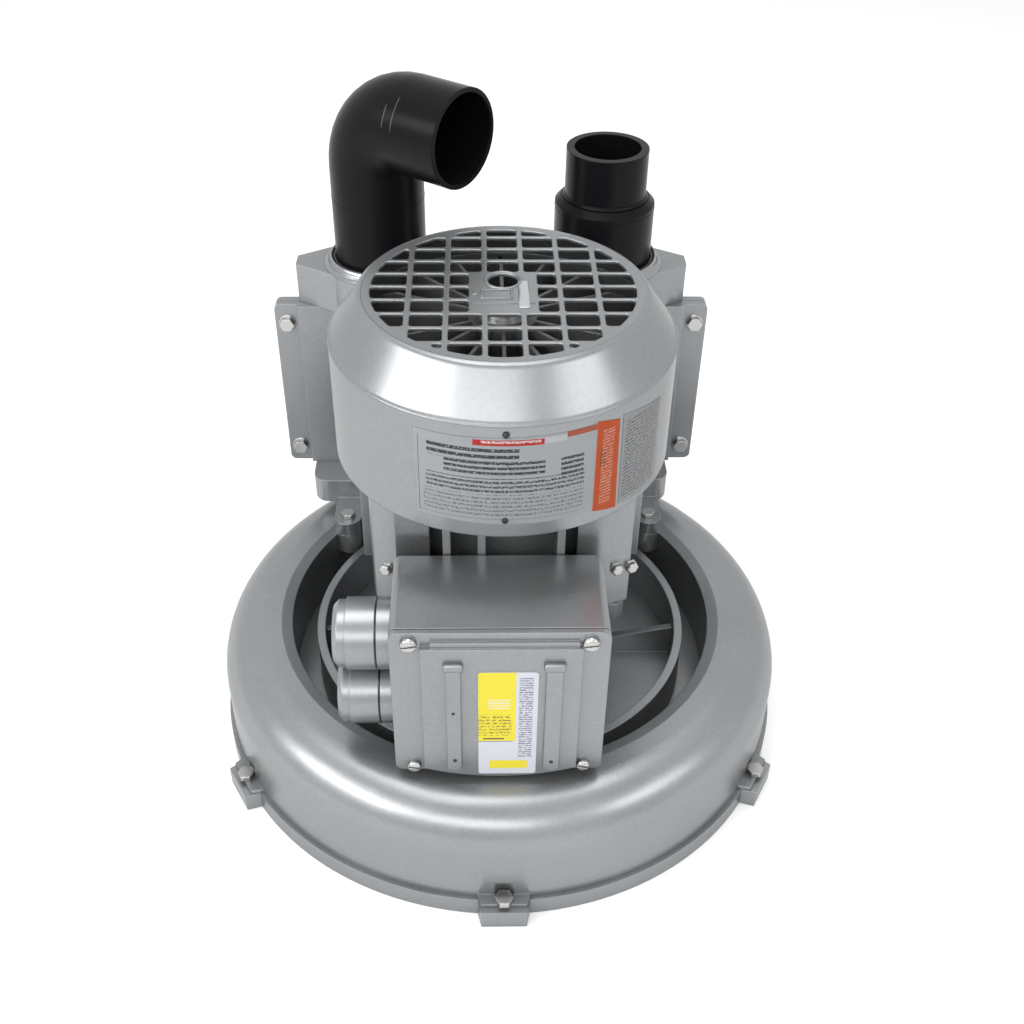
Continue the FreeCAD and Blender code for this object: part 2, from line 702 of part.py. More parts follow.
outer_race_inner = s.bearing_outer - s.bearing_race
inner_race_outer = s.shaft_bearing_radius + s.bearing_race
bearing_shield = 1.5
shield_gap = 0.3
for name, bottom in (("drive_end", s.drive_bearing_bottom), ("fan_end", s.fan_bearing_bottom)):
    top = bottom + s.bearing_width
    turned(name + "_bearing_outer_ring", [
        (inner_race_outer + shield_gap, bottom),
        (s.bearing_outer, bottom),
        (s.bearing_outer, top),
        (inner_race_outer + shield_gap, top),
        (inner_race_outer + shield_gap, top - bearing_shield),
        (outer_race_inner, top - bearing_shield),
        (outer_race_inner, bottom + bearing_shield),
        (inner_race_outer + shield_gap, bottom + bearing_shield),
    ])
    ring(name + "_bearing_inner_ring", s.shaft_bearing_radius, inner_race_outer, bottom, top)


# Drive end shield: flange on the housing, bell up to the frame, ears for the tie rods

shield_wall = 6
bell_neck = s.boss_hollow_radius - 4
bell_bottom = s.boss_top + s.shield_plate
bell_shoulder = s.frame_bottom - 18
bell_radius = s.frame_radius + 6
shield = new_body("drive_end_shield")
revolve(shield, "shield_turning", [
    (s.shaft_core_radius + 2, s.boss_top),
    (s.shield_flange, s.boss_top),
    (s.shield_flange, bell_bottom),
    (bell_neck, bell_bottom),
    (bell_radius, bell_shoulder),
    (bell_radius, s.frame_bottom),
    (bell_radius - shield_wall, s.frame_bottom),
    (bell_radius - shield_wall, bell_shoulder + 2),
    (bell_neck - shield_wall - 4, bell_bottom + 4),
    (s.bearing_outer + shield_wall, bell_bottom + 4),
    (s.bearing_outer + shield_wall, drive_bearing_top),
    (s.bearing_outer, drive_bearing_top),
    (s.bearing_outer, s.drive_bearing_bottom),
    (s.shaft_core_radius + 2, s.drive_bearing_bottom),
])
tie_ear = 14


def corner_outline(outline, steps):
    """The same outline at the four tie rods, mirrored to each corner."""
    for side, end in CORNERS:
        outline.path([(side * (s.corner_x + x), end * (s.corner_y + y)) for x, y in steps])


def corner_ears(outline):
    corner_outline(outline, ((-14, -14), (7, -14), (7, 3), (2, 8), (-14, 8)))


def corner_circles(outline, radius):
    for side, end in CORNERS:
        outline.circle(side * s.corner_x, end * s.corner_y, radius)


pad(shield, "shield_ears", "top", s.frame_bottom - tie_ear, tie_ear, corner_ears)
pocket(shield, "shield_tie_threads", "top", s.frame_bottom, tie_ear,
       lambda o: corner_circles(o, s.tie_radius))
pocket(shield, "shield_bolt_holes", "top", bell_bottom, s.shield_plate,
       lambda o: [o.circle(x, y, flange_bolt_radius + s.fit_gap) for x, y in flange_bolts])
screws("flange_bolts", [(x, y, bell_bottom, "up") for x, y in flange_bolts],
       7.5, 5.5, flange_bolt_radius, s.shield_plate + 24)


# Motor frame: finned tube with four corner columns and the seat of the terminal box

frame_height = s.frame_top - s.frame_bottom
frame = new_body("motor_frame")
pad(frame, "frame_tube", "top", s.frame_bottom, frame_height,
    lambda o: o.circle(0, 0, s.frame_radius))


def corner_columns(outline):
    """Stepped columns round the tie rods."""
    corner_outline(outline, ((-29, 22), (-7, 22), (-7, 10), (9, 3), (12, -14), (-6, -22), (-22, -4)))


pad(frame, "frame_columns", "top", s.frame_bottom, frame_height, corner_columns)
fin_root = s.frame_radius - 6


def fins(outline):
    """Straight fins on the four sides between the columns."""
    half = s.fin_width / 2
    for x in (-36, -14, 36):
        outline.box(x - half, x + half, s.box_back + 1, -fin_root + 8)
    for x in (-36, -12, 12, 36):
        outline.box(x - half, x + half, fin_root - 8, s.fin_reach)
    for y in (-15, 0, 15):
        outline.box(fin_root - 2, s.fin_reach, y - half, y + half)
        outline.box(-s.fin_reach, -fin_root + 2, y - half, y + half)


pad(frame, "frame_fins", "top", s.frame_bottom, frame_height, fins)
seat_top = s.box_top - 14
pad(frame, "box_seat", "top", s.frame_bottom, seat_top - s.frame_bottom,
    lambda o: o.box(s.box_shift - s.seat_half, s.box_shift + s.seat_half, s.box_back, -fin_root))
pocket(frame, "frame_bore", "top", s.frame_top, frame_height,
       lambda o: o.circle(0, 0, s.stator_radius))
pocket(frame, "frame_tie_holes", "top", s.frame_top, frame_height,
       lambda o: corner_circles(o, s.tie_radius + s.fit_gap))
seat_screw_x = 30
seat_screw_heights = (s.frame_bottom + 14, seat_top - 10)
seat_screw_depth = 14
box_screw_radius = 2.5
seat_screws = [(s.box_shift + side * seat_screw_x, z) for side in (-1, 1) for z in seat_screw_heights]
pocket(frame, "seat_threads", "front", s.box_back, seat_screw_depth,
       lambda o: [o.circle(x, z, box_screw_radius) for x, z in seat_screws])


# Stator: laminated core with a ring of end turns on each end

ring("stator_core", s.rotor_radius + s.air_gap, s.stator_radius, s.core_bottom, core_top)
winding = {"inner": s.rotor_radius + 8, "outer": s.stator_radius - 3}
winding_rings = []
for name, bottom in (("lower", s.core_bottom - s.winding_reach), ("upper", core_top)):
    outer = primitive("Cylinder", name + "_turns_outer", Radius=winding["outer"], Height=s.winding_reach)
    inner = primitive("Cylinder", name + "_turns_inner", Radius=winding["inner"], Height=s.winding_reach)
    turns = doc.addObject("Part::Cut", name + "_turns")
    turns.Base = outer
    turns.Tool = inner
    winding_rings.append(place(turns, 0, 0, bottom))
group_of("stator_windings", winding_rings)


# Fan end shield: plate with the upper bearing seat, four corner ears and four cowl ears

end_plate_top = s.frame_top + s.end_plate
cowl_inside = s.cowl_radius - s.cowl_sheet
end_shield = new_body("fan_end_shield")
revolve(end_shield, "end_shield_turning", [
    (s.bearing_outer, s.fan_bearing_bottom),
    (s.bearing_outer + shield_wall, s.fan_bearing_bottom),
    (s.bearing_outer + shield_wall, s.frame_top),
    (s.frame_radius, s.frame_top),
    (s.frame_radius, end_plate_top),
    (s.shaft_bearing_radius + 3, end_plate_top),
    (s.shaft_bearing_radius + 3, fan_bearing_top),
    (s.bearing_outer, fan_bearing_top),
])
pad(end_shield, "end_shield_ears", "top", s.frame_top, s.end_plate, corner_ears)
cowl_ear_half = 9
cowl_ear = pad(
    end_shield, "cowl_ear", "top", s.frame_top, s.end_plate,
    lambda o: o.path([(-cowl_ear_half, -s.frame_radius + 6),
                      (-cowl_ear_half, -cowl_inside + 1),
                      (cowl_ear_half, -cowl_inside + 1),
                      (cowl_ear_half, -s.frame_radius + 6)]))
polar(end_shield, "cowl_ears", [cowl_ear], 4)
pocket(end_shield, "end_shield_tie_holes", "top", end_plate_top, s.end_plate,
       lambda o: corner_circles(o, s.tie_radius + s.fit_gap))
cowl_screw_radius = 2
cowl_screw_height = s.frame_top + s.end_plate / 2
cowl_screw_length = 12
pocket(end_shield, "cowl_threads_y", "front", -s.cowl_radius, 2 * s.cowl_radius,
       lambda o: o.circle(0, cowl_screw_height, cowl_screw_radius))
pocket(end_shield, "cowl_threads_x", "side", s.cowl_radius, 2 * s.cowl_radius,
       lambda o: o.circle(0, cowl_screw_height, cowl_screw_radius))
tie_length = end_plate_top - s.frame_bottom + tie_ear - 2
screws("tie_rods", [(side * s.corner_x, end * s.corner_y, end_plate_top, "up") for side, end in CORNERS],
       5.6, 4, s.tie_radius, tie_length)


# Fan cowl: sheet cylinder with screw holes

guard_screw_height = s.cowl_shoulder - 5
cowl = new_body("fan_cowl")
revolve(cowl, "cowl_turning", [
    (cowl_inside, s.cowl_bottom), (s.cowl_radius, s.cowl_bottom),
    (s.cowl_radius, s.cowl_shoulder), (cowl_inside, s.cowl_shoulder),
])
for plane, at in (("front", -s.cowl_radius - 1), ("side", s.cowl_radius + 1)):
    pocket(cowl, "cowl_holes_" + plane, plane, at, 2 * s.cowl_radius + 2,
           lambda o: [o.circle(0, z, cowl_screw_radius + s.fit_gap)
                      for z in (cowl_screw_height, guard_screw_height)])


# Fan guard: skirt in the cowl, conical shoulder and the grille with its plate

grille_bottom = s.guard_top - s.grille_plate
guard_edge = 1.2
guard = new_body("fan_guard")
revolve(guard, "guard_turning", [
    (cowl_inside - s.cowl_sheet, s.cowl_shoulder - s.guard_skirt),
    (cowl_inside - s.fit_gap, s.cowl_shoulder - s.guard_skirt),
    (cowl_inside - s.fit_gap, s.cowl_shoulder),
    (s.cowl_radius - guard_edge, s.cowl_shoulder),
    (s.cowl_radius - guard_edge, s.cowl_shoulder + guard_edge),
    (s.guard_rim_radius, s.guard_top),
    (s.grille_radius, s.guard_top),
    (s.grille_radius, grille_bottom),
    (s.guard_rim_radius - guard_edge, grille_bottom),
    (cowl_inside - s.cowl_sheet, s.cowl_shoulder),
])
bar_reach = (s.grille_radius + s.guard_rim_radius) / 2


def chord(offset):
    """Half the length of a bar that ends in the rim, at a distance from the centre."""
    return (bar_reach * bar_reach - offset * offset).root()


def grille_rows(outline):
    for k in range(-4, 5):
        y = s.row_shift + k * s.row_pitch
        half = chord(s.row_pitch * abs(k) + s.row_shift * (1 if k > 0 else 0) + s.row_width / 2)
        outline.box(-half, half, y - s.row_width / 2, y + s.row_width / 2)


def grille_columns(outline):
    for k in range(-3, 3):
        x = (k + 0.5) * s.column_pitch
        half = chord(s.column_pitch * abs(k + 0.5) + s.column_width / 2)
        outline.box(x - s.column_width / 2, x + s.column_width / 2, -half, half)


pad(guard, "grille_rows", "top", grille_bottom, s.grille_plate, grille_rows)
pad(guard, "grille_columns", "top", grille_bottom, s.grille_plate, grille_columns)
plate_low = s.row_shift - 2 * s.row_pitch
plate_high = s.row_shift + s.row_pitch
pad(guard, "grille_hub_plate", "top", grille_bottom, s.grille_plate,
    lambda o: o.box(-s.hub_plate_half, s.hub_plate_half, plate_low, plate_high))
pocket(guard, "grille_hub_hole", "top", s.guard_top, s.grille_plate,
       lambda o: o.circle(0, s.hub_hole_y, s.hub_hole_radius))
for plane, at in (("front", -s.cowl_radius), ("side", s.cowl_radius)):
    pocket(guard, "guard_threads_" + plane, plane, at, 2 * s.cowl_radius,
           lambda o: o.circle(0, guard_screw_height, cowl_screw_radius))

corner_edges = [
    f"Edge{index}" for index, edge in enumerate(guard.Shape.Edges, 1)
    if isinstance(edge.Curve, Part.Line) and abs(edge.tangentAt(edge.FirstParameter).z) > 0.99
    and math.hypot(edge.CenterOfMass.x, edge.CenterOfMass.y) < s.grille_radius.value - 12
]
if not corner_edges:
    raise RuntimeError("the grille has no corners to round")
grille = guard.Tip
rounding = guard.newObject("PartDesign::Fillet", "grille_rounding")
rounding.Base = (grille, corner_edges)
bind(rounding, "Radius", s.grille_corner)
doc.recompute()

COWL_SIDES = (("front", 0, -1), ("back", 0, 1), ("left", -1, 0), ("right", 1, 0))
screws("cowl_screws",
       [(x * s.cowl_radius, y * s.cowl_radius, cowl_screw_height, side) for side, x, y in COWL_SIDES],
       3.6, 2, cowl_screw_radius, cowl_screw_length, hexagonal=False)
screws("guard_screws",
       [(x * s.cowl_radius, y * s.cowl_radius, guard_screw_height, side) for side, x, y in COWL_SIDES],
       3.6, 2, cowl_screw_radius, 2 * s.cowl_sheet, hexagonal=False)


# Cooling fan: hub, disc and straight blades, held by a ring in the shaft groove

fan = new_body("cooling_fan")
revolve(fan, "fan_turning", [
    (s.shaft_nose, s.fan_bottom),
    (s.fan_radius, s.fan_bottom),
    (s.fan_radius, s.fan_bottom + s.fan_disc),
    (s.fan_hub_radius, s.fan_bottom + s.fan_disc),
    (s.fan_hub_radius, s.fan_top),
    (s.shaft_nose, s.fan_top),
])
fan_blade = pad(
    fan, "fan_blade", "front", s.fan_blade_thickness / 2, s.fan_blade_thickness,
    lambda o: o.path([(s.fan_hub_radius - 2, s.fan_bottom + 1),
                      (s.fan_radius - 1, s.fan_bottom + 1),
                      (s.fan_radius - 1, s.fan_top - 8),
                      (s.fan_radius - 20, s.fan_top),
                      (s.fan_hub_radius - 2, s.fan_top)]))
polar(fan, "fan_blades", [fan_blade], s.fan_blade_count)
ring("fan_retaining_ring", s.shaft_nose, s.shaft_nose + 4, s.fan_top, s.fan_top + 1.5)


# Terminal box: open front, rounded edges, cable entry bosses and screw holes

box_left = s.box_shift - s.box_half
box_right = s.box_shift + s.box_half
box_corner = 5
box = new_body("terminal_box")
pad(box, "box_block", "front", s.box_back, s.box_back - s.box_front,
    lambda o: o.rounded_box(box_left, box_right, s.box_bottom, s.box_top, box_corner))
entries = ((s.entry_y, s.entry_low), (s.entry_y, s.entry_high))
pad(box, "entry_bosses", "side", box_left - s.entry_boss, s.entry_boss + s.box_wall / 2,
    lambda o: [o.circle(y, z, s.entry_radius) for y, z in entries])
pocket(box, "box_room", "front", s.box_front, s.box_back - s.box_front - s.box_wall,
       lambda o: o.rounded_box(box_left + s.box_wall, box_right - s.box_wall,
                               s.box_bottom + s.box_wall, s.box_top - s.box_wall, box_corner / 2))
entry_bore = s.entry_radius - 5
pocket(box, "entry_bores", "side", box_left + s.box_wall, s.entry_boss + s.box_wall,
       lambda o: [o.circle(y, z, entry_bore) for y, z in entries])
cable_hole = 10
pocket(box, "cable_hole", "front", s.box_back - s.box_wall, s.box_wall,
       lambda o: o.circle(s.box_shift, s.frame_bottom + 30, cable_hole))
pocket(box, "seat_screw_holes", "front", s.box_back - s.box_wall, s.box_wall,
       lambda o: [o.circle(x, z, box_screw_radius + s.fit_gap) for x, z in seat_screws])
lid_post = 6
lid_spots = [(s.box_shift + side * s.lid_screw_x, z)
             for side in (-1, 1) for z in (s.lid_screw_low, s.lid_screw_high)]


def lid_posts(outline):
    """Corner blocks that take the cover screws."""
    for side in (-1, 1):
        edge = s.box_shift + side * (s.box_half - s.box_wall / 2)
        inner = s.box_shift + side * (s.lid_screw_x - lid_post)
        left, right = (edge, inner) if side < 0 else (inner, edge)
        outline.box(left, right, s.box_bottom + s.box_wall / 2, s.lid_screw_low + lid_post)
        outline.box(left, right, s.lid_screw_high - lid_post, s.box_top - s.box_wall / 2)


lid_post_depth = 20
pad(box, "lid_posts", "front", s.box_front + lid_post_depth, lid_post_depth, lid_posts)
lid_screw_radius = 2
pocket(box, "lid_threads", "front", s.box_front, lid_post_depth - 2,
       lambda o: [o.circle(x, z, lid_screw_radius) for x, z in lid_spots])
seat_head = 3
screws("terminal_box_screws", [(x, s.box_back - s.box_wall, z, "front") for x, z in seat_screws],
       4.5, seat_head, box_screw_radius, s.box_wall + seat_screw_depth - 2, hexagonal=False)


# Cable plugs: turned hubs screwed into the entries, with a step near the outer end

plug_step = 8
for name, height in (("lower", s.entry_low), ("upper", s.entry_high)):
    plug = turned("cable_plug_" + name, [
        (0, -s.entry_boss),
        (entry_bore, -s.entry_boss),
        (entry_bore, 0),
        (s.entry_radius, 0),
        (s.entry_radius, s.plug_length - plug_step),
        (s.entry_radius - 1.5, s.plug_length - plug_step),
        (s.entry_radius - 1.5, s.plug_length - 3),
        (s.entry_radius - 4.5, s.plug_length),
        (0, s.plug_length),
    ])
    place(plug, box_left - s.entry_boss, s.entry_y, height, FACING["left"])


# Terminal board with its studs

board_depth = 9
board_back = s.box_back - s.box_wall
board_front = board_back - board_depth
board_half = 24
board_low = s.frame_bottom - 30
board_high = s.frame_bottom + 2
board = new_body("terminal_board")
pad(board, "board_block", "front", board_back, board_depth,
    lambda o: o.box(s.box_shift - board_half, s.box_shift + board_half, board_low, board_high))
stud_radius = 2.5
studs = [(s.box_shift + 16 * k, z) for k in (-1, 0, 1) for z in (board_low + 8, board_high - 8)]
stud_depth = 6
pocket(board, "stud_holes", "front", board_front, stud_depth,
       lambda o: [o.circle(x, z, stud_radius) for x, z in studs])
screws("terminal_studs", [(x, board_front, z, "front") for x, z in studs],
       4.6, 7, stud_radius, stud_depth)


# Terminal box cover: tray with a raised panel, a ridge and two pressed ribs

lid_back = s.box_front - s.gasket
lid_front = lid_back - s.lid_depth
lid = new_body("terminal_box_cover")
pad(lid, "lid_block", "front", lid_back, s.lid_depth,
    lambda o: o.rounded_box(box_left, box_right, s.box_bottom, s.box_top, box_corner))
panel_left = s.box_shift - 47.5
panel_right = s.box_shift + 49.5
panel_low = s.lid_screw_low
panel_high = s.lid_screw_high - 2
panel_sag = 8
panel_chord = (panel_right - panel_left) / 2
panel_arc = (panel_chord * panel_chord + panel_sag * panel_sag) / (2 * panel_sag)
panel_middle = (panel_left + panel_right) / 2
pad(lid, "lid_panel", "front", lid_front + 1, s.panel_height + 1,
    lambda o: o.path([
        (panel_left, panel_high),
        (panel_left, panel_low),
        Bend(panel_right, panel_low, (panel_middle, panel_low - panel_sag + panel_arc), panel_arc, 1),
        (panel_right, panel_high),
    ]))
panel_front = lid_front - s.panel_height
for name, left, right in (("left", -32.5, -23.5), ("right", 28, 38)):
    pad(lid, "lid_rib_" + name, "front", panel_front + 1, s.rib_height + 1,
        lambda o: o.rounded_box(s.box_shift + left, s.box_shift + right,
                                panel_low, s.lid_screw_high - 14, 4))
pad(lid, "lid_ridge", "front", lid_front + 1, s.panel_height - 0.5,
    lambda o: o.box(panel_left + 6, panel_right - 2, panel_high - 1, panel_high + 4))
lid_rim = 13
pocket(lid, "lid_screw_holes", "front", lid_front, s.lid_depth,
       lambda o: [o.circle(x, z, lid_screw_radius + s.fit_gap) for x, z in lid_spots])
screws("terminal_cover_screws", [(x, lid_front, z, "front") for x, z in lid_spots],
       4.4, 3.5, lid_screw_radius, s.lid_depth + s.gasket + lid_post_depth - 4)

box_gasket = new_body("terminal_box_gasket")
pad(box_gasket, "box_gasket_sheet", "front", s.box_front, s.gasket,
    lambda o: [o.rounded_box(box_left, box_right, s.box_bottom, s.box_top, box_corner),
               o.rounded_box(box_left + lid_rim, box_right - lid_rim,
                             s.box_bottom + lid_rim, s.box_top - lid_rim, box_corner)])
pocket(box_gasket, "box_gasket_holes", "front", lid_back, s.gasket,
       lambda o: [o.circle(x, z, lid_screw_radius + s.fit_gap) for x, z in lid_spots])

label_sheet = 0.4
box_label = new_body("terminal_box_label")
pad(box_label, "box_label_sheet", "front", panel_front, label_sheet,
    lambda o: o.rounded_box(s.box_shift - 13, s.box_shift + 23.5, panel_low - 5, s.lid_screw_high - 20.5, 2))


# Labels on the cowl: sectors of a thin tube

label_gap = 0.15
LABELS = (("rating_label", -28.8, 37.2), ("wiring_label", 38.4, 57.7))
label_bottom = s.cowl_bottom + 9.7
label_height = s.cowl_shoulder - 7 - label_bottom - 5
for label, start, end in LABELS:
    outer = primitive("Cylinder", label + "_outer",
                      Radius=s.cowl_radius + label_gap + label_sheet, Height=label_height)
    outer.Angle = end - start
    inner = primitive("Cylinder", label + "_inner", Radius=s.cowl_radius + label_gap, Height=label_height)
    sheet_cut = doc.addObject("Part::Cut", label + "_sheet")
    sheet_cut.Base = outer
    sheet_cut.Tool = inner
    turn = FreeCAD.Rotation(FreeCAD.Vector(0, 0, 1), FRONT_ANGLE + start)
    place(sheet_cut, 0, 0, label_bottom, turn)
    if start < 0 < end:
        around = primitive("Cylinder", label + "_screw_room", Radius=4.2, Height=8)
        place(around, 0, -s.cowl_radius + 4, cowl_screw_height, FACING["front"])
        pierced = doc.addObject("Part::Cut", label + "_pierced")
        pierced.Base = sheet_cut
        pierced.Tool = around
        sheet_cut = pierced
    doc.recompute()
    node(sheet_cut, label)


# Silencer body: base, two chambers, flange and two port necks with ears

silencer_left = s.port_shift - s.silencer_half
silencer_right = s.port_shift + s.silencer_half
silencer_corner = 12
body = new_body("silencer_body")
pad(body, "silencer_base", "top", s.riser_top, s.silencer_bottom - s.riser_top,
    lambda o: o.rounded_box(silencer_left, silencer_right, s.base_front, s.silencer_back, silencer_corner))
pad(body, "silencer_block", "top", s.silencer_bottom, s.silencer_top - s.silencer_bottom,
    lambda o: o.path([
        (silencer_left, s.silencer_front), (silencer_right, s.silencer_front),
        (silencer_right, s.silencer_back - silencer_corner),
        Bend(silencer_right - silencer_corner, s.silencer_back,
             (silencer_right - silencer_corner, s.silencer_back - silencer_corner), silencer_corner, 1),
        (silencer_left + silencer_corner, s.silencer_back),
        Bend(silencer_left, s.silencer_back - silencer_corner,
             (silencer_left + silencer_corner, s.silencer_back - silencer_corner), silencer_corner, 1),
    ]))
flange_corner = 5
flange_box = (s.port_shift - s.flange_half, s.port_shift + s.flange_half, s.silencer_bottom, s.silencer_top)
pad(body, "silencer_flange", "front", s.silencer_front + s.flange_thickness, s.flange_thickness,
    lambda o: o.rounded_box(*flange_box, flange_corner))
ear_tip = 7
ear_root_x = 33
ear_root_y = (s.neck_radius * s.neck_radius - ear_root_x * ear_root_x).root()
neck_ring = 3


def neck_outline(outline, x):
    """A round neck with a pointed ear on either side."""
    y = s.port_y
    outline.path([
        (x - s.ear_reach, y - ear_tip), (x - ear_root_x, y - ear_root_y),
        Bend(x + ear_root_x, y - ear_root_y, (x, y), s.neck_radius, 1),
        (x + s.ear_reach, y - ear_tip), (x + s.ear_reach, y + ear_tip),
        (x + ear_root_x, y + ear_root_y),
        Bend(x - ear_root_x, y + ear_root_y, (x, y), s.neck_radius, 1),
        (x - s.ear_reach, y + ear_tip),
    ])


for name, x in (("outlet", port_x[0]), ("inlet", port_x[1])):
    pad(body, name + "_neck", "top", s.silencer_top, s.neck_top - neck_ring - s.silencer_top,
        lambda o: neck_outline(o, x))
    pad(body, name + "_neck_ring", "top", s.neck_top - neck_ring, neck_ring,
        lambda o: o.circle(x, s.port_y, s.neck_radius - 2))
tongue_top = s.riser_top + 4
pad(body, "silencer_tongues", "top", s.ring_top, tongue_top - s.ring_top,
    lambda o: [o.path([
        (side * s.foot_x - s.foot_radius, s.foot_y),
        Bend(side * s.foot_x, s.foot_y - s.foot_radius, (side * s.foot_x, s.foot_y), s.foot_radius, 1),
        Bend(side * s.foot_x + s.foot_radius, s.foot_y, (side * s.foot_x, s.foot_y), s.foot_radius, 1),
        (side * s.foot_x + s.foot_radius, s.base_front + 4),
        (side * s.foot_x - s.foot_radius, s.base_front + 4)]) for side in (-1, 1)])
pocket(body, "tongue_holes", "top", tongue_top, tongue_top - s.ring_top,
       lambda o: [o.circle(side * s.foot_x, s.foot_y, s.tie_radius + s.fit_gap) for side in (-1, 1)])
chamber_back = s.silencer_back - s.silencer_wall
chamber_low = s.silencer_bottom + s.silencer_wall
chamber_high = s.silencer_top - s.silencer_wall
chamber_sides = (
    (silencer_left + s.silencer_wall, s.port_shift - s.silencer_wall / 2),
    (s.port_shift + s.silencer_wall / 2, silencer_right - s.silencer_wall),
)
pocket(body, "chambers", "front", s.silencer_front, chamber_back - s.silencer_front,
       lambda o: [o.box(left, right, chamber_low, chamber_high) for left, right in chamber_sides])
duct_front = s.silencer_front + s.silencer_wall
duct_half = 24
pocket(body, "neck_ducts", "top", s.neck_seat, s.neck_seat - chamber_high + 1,
       lambda o: [o.box(x - duct_half, x + duct_half, duct_front, s.port_y + duct_half) for x in port_x])
pocket(body, "base_ducts", "top", chamber_low + 1, chamber_low + 1 - s.riser_top - 6,
       lambda o: [o.box(x - duct_half + 4, x + duct_half - 4, duct_front, s.port_y + duct_half - 4)
                  for x in port_x])
pocket(body, "base_ports", "top", s.riser_top, 16,
       lambda o: [o.circle(x, s.port_y, s.riser_bore) for x in port_x], reverse=True)
neck_bore = s.elbow_radius + s.fit_gap
pocket(body, "neck_bores", "top", s.neck_top, s.neck_top - s.neck_seat,
       lambda o: [o.circle(x, s.port_y, neck_bore) for x in port_x])
flange_spots = [(s.port_shift + side * s.flange_bolt_x, z)
                for side in (-1, 0, 1) for z in (s.flange_bolt_low, s.flange_bolt_high)]
outer_spots = [spot for spot in flange_spots if abs(spot[0].value - s.port_shift.value) > 1]
pocket(body, "flange_threads_silencer", "front", s.silencer_front, s.flange_thickness,
       lambda o: [o.circle(x, z, s.tie_radius) for x, z in outer_spots])

screws("silencer_foot_screws",
       [(side * s.foot_x, s.foot_y, tongue_top, "up") for side in (-1, 1)],
       5.6, 4, s.tie_radius, tongue_top - s.ring_top + foot_pad_height - 4)


# Silencer cover, its gasket and bolts

gasket_front = s.silencer_front - s.gasket
cover_front = gasket_front - s.cover_plate
silencer_cover = new_body("silencer_cover")
pad(silencer_cover, "silencer_cover_plate", "front", gasket_front, s.cover_plate,
    lambda o: o.rounded_box(*flange_box, flange_corner))
bulge_side = s.silencer_half + 3
pad(silencer_cover, "silencer_cover_bulge", "front", cover_front + 1, s.cover_bulge + 1,
    lambda o: o.box(s.port_shift - bulge_side, s.port_shift + bulge_side,
                    s.silencer_bottom, s.silencer_top))
pocket(silencer_cover, "silencer_cover_holes", "front", cover_front, s.cover_plate,
       lambda o: [o.circle(x, z, s.tie_radius + s.fit_gap) for x, z in outer_spots])
silencer_gasket = new_body("silencer_gasket")
pad(silencer_gasket, "silencer_gasket_sheet", "front", s.silencer_front, s.gasket,
    lambda o: [o.rounded_box(*flange_box, flange_corner),
               *[o.box(left, right, chamber_low, chamber_high) for left, right in chamber_sides]])
pocket(silencer_gasket, "silencer_gasket_holes", "front", gasket_front, s.gasket,
       lambda o: [o.circle(x, z, s.tie_radius + s.fit_gap) for x, z in outer_spots])
screws("silencer_bolts", [(x, cover_front, z, "front") for x, z in outer_spots],
       6, 4.5, s.tie_radius, s.cover_plate + s.gasket + s.flange_thickness)


# Sound absorbing foam on the back wall of each chamber

foam_depth = 22
for name, (left, right) in zip(("outlet", "inlet"), chamber_sides):
    foam = new_body(name + "_silencer_foam")
    pad(foam, name + "_foam_block", "front", chamber_back, foam_depth,
        lambda o: o.box(left + 2, right - 2, chamber_low + 14, chamber_high - 4))


# Outlet elbow: pipe swept up, round the bend and out to the front right

elbow = new_body("outlet_elbow")
elbow_start = s.neck_seat
elbow_profile = Outline(elbow, "elbow_profile", "top", elbow_start)
elbow_profile.circle(0, 0, s.elbow_radius).circle(0, 0, s.elbow_radius - s.pipe_wall)
turn_start = s.elbow_axis - s.elbow_bend
elbow_path = Outline(elbow, "elbow_path", "front").path([
    (0, elbow_start),
    (0, turn_start),
    Bend(s.elbow_bend, s.elbow_axis, (s.elbow_bend, turn_start), s.elbow_bend, -1),
    (s.elbow_bend + s.elbow_leg, s.elbow_axis),
], closed=False)
sweep = elbow.newObject("PartDesign::AdditivePipe", "elbow_sweep")
sweep.Profile = elbow_profile.sketch
sweep.Spine = elbow_path.sketch
doc.recompute()
elbow.Placement = FreeCAD.Placement(
    FreeCAD.Vector(), FreeCAD.Rotation(FreeCAD.Vector(0, 0, 1), number(s.elbow_turn)))
place(elbow, port_x[0], s.port_y, 0)
bind(elbow, "Placement.Rotation.Angle", s.elbow_turn)


# Inlet adapter: collar in the neck, and the hose spigot in the collar

spigot_seat = s.spigot_radius - s.spigot_step
collar = turned("inlet_collar", [
    (s.spigot_bore, s.neck_seat),
    (s.elbow_radius, s.neck_seat),
    (s.elbow_radius, s.neck_top),
    (s.collar_radius, s.neck_top),
    (s.collar_radius, s.collar_top),
    (s.collar_radius - s.collar_chamfer, s.collar_top + s.collar_chamfer),
    (spigot_seat, s.collar_top + s.collar_chamfer),
    (spigot_seat, s.collar_top - s.spigot_depth),
    (s.spigot_bore, s.collar_top - s.spigot_depth),
])
place(collar, port_x[1], s.port_y, 0)
spigot = turned("inlet_spigot", [
    (s.spigot_bore, s.collar_top - s.spigot_depth),
    (spigot_seat, s.collar_top - s.spigot_depth),
    (spigot_seat, s.collar_top + s.collar_chamfer),
    (s.spigot_radius, s.collar_top + s.collar_chamfer),
    (s.spigot_radius, s.spigot_top),
    (s.spigot_bore, s.spigot_top),
])
place(spigot, port_x[1], s.port_y, 0)


# Cover screws stand on the housing lips and hold in the lugs

lug_angles = [FRONT_ANGLE + LUG_STEP * k for k in range(6)]
screws("cover_screws",
       [(*on_circle(s.lug_screw_circle, angle), s.cover_thickness + s.lip_thickness, "up")
        for angle in lug_angles],
       6.2, 4.5, lug_bore, s.cover_thickness + s.lip_thickness - 4)


# Check every object and sub-part, then write the STEP files

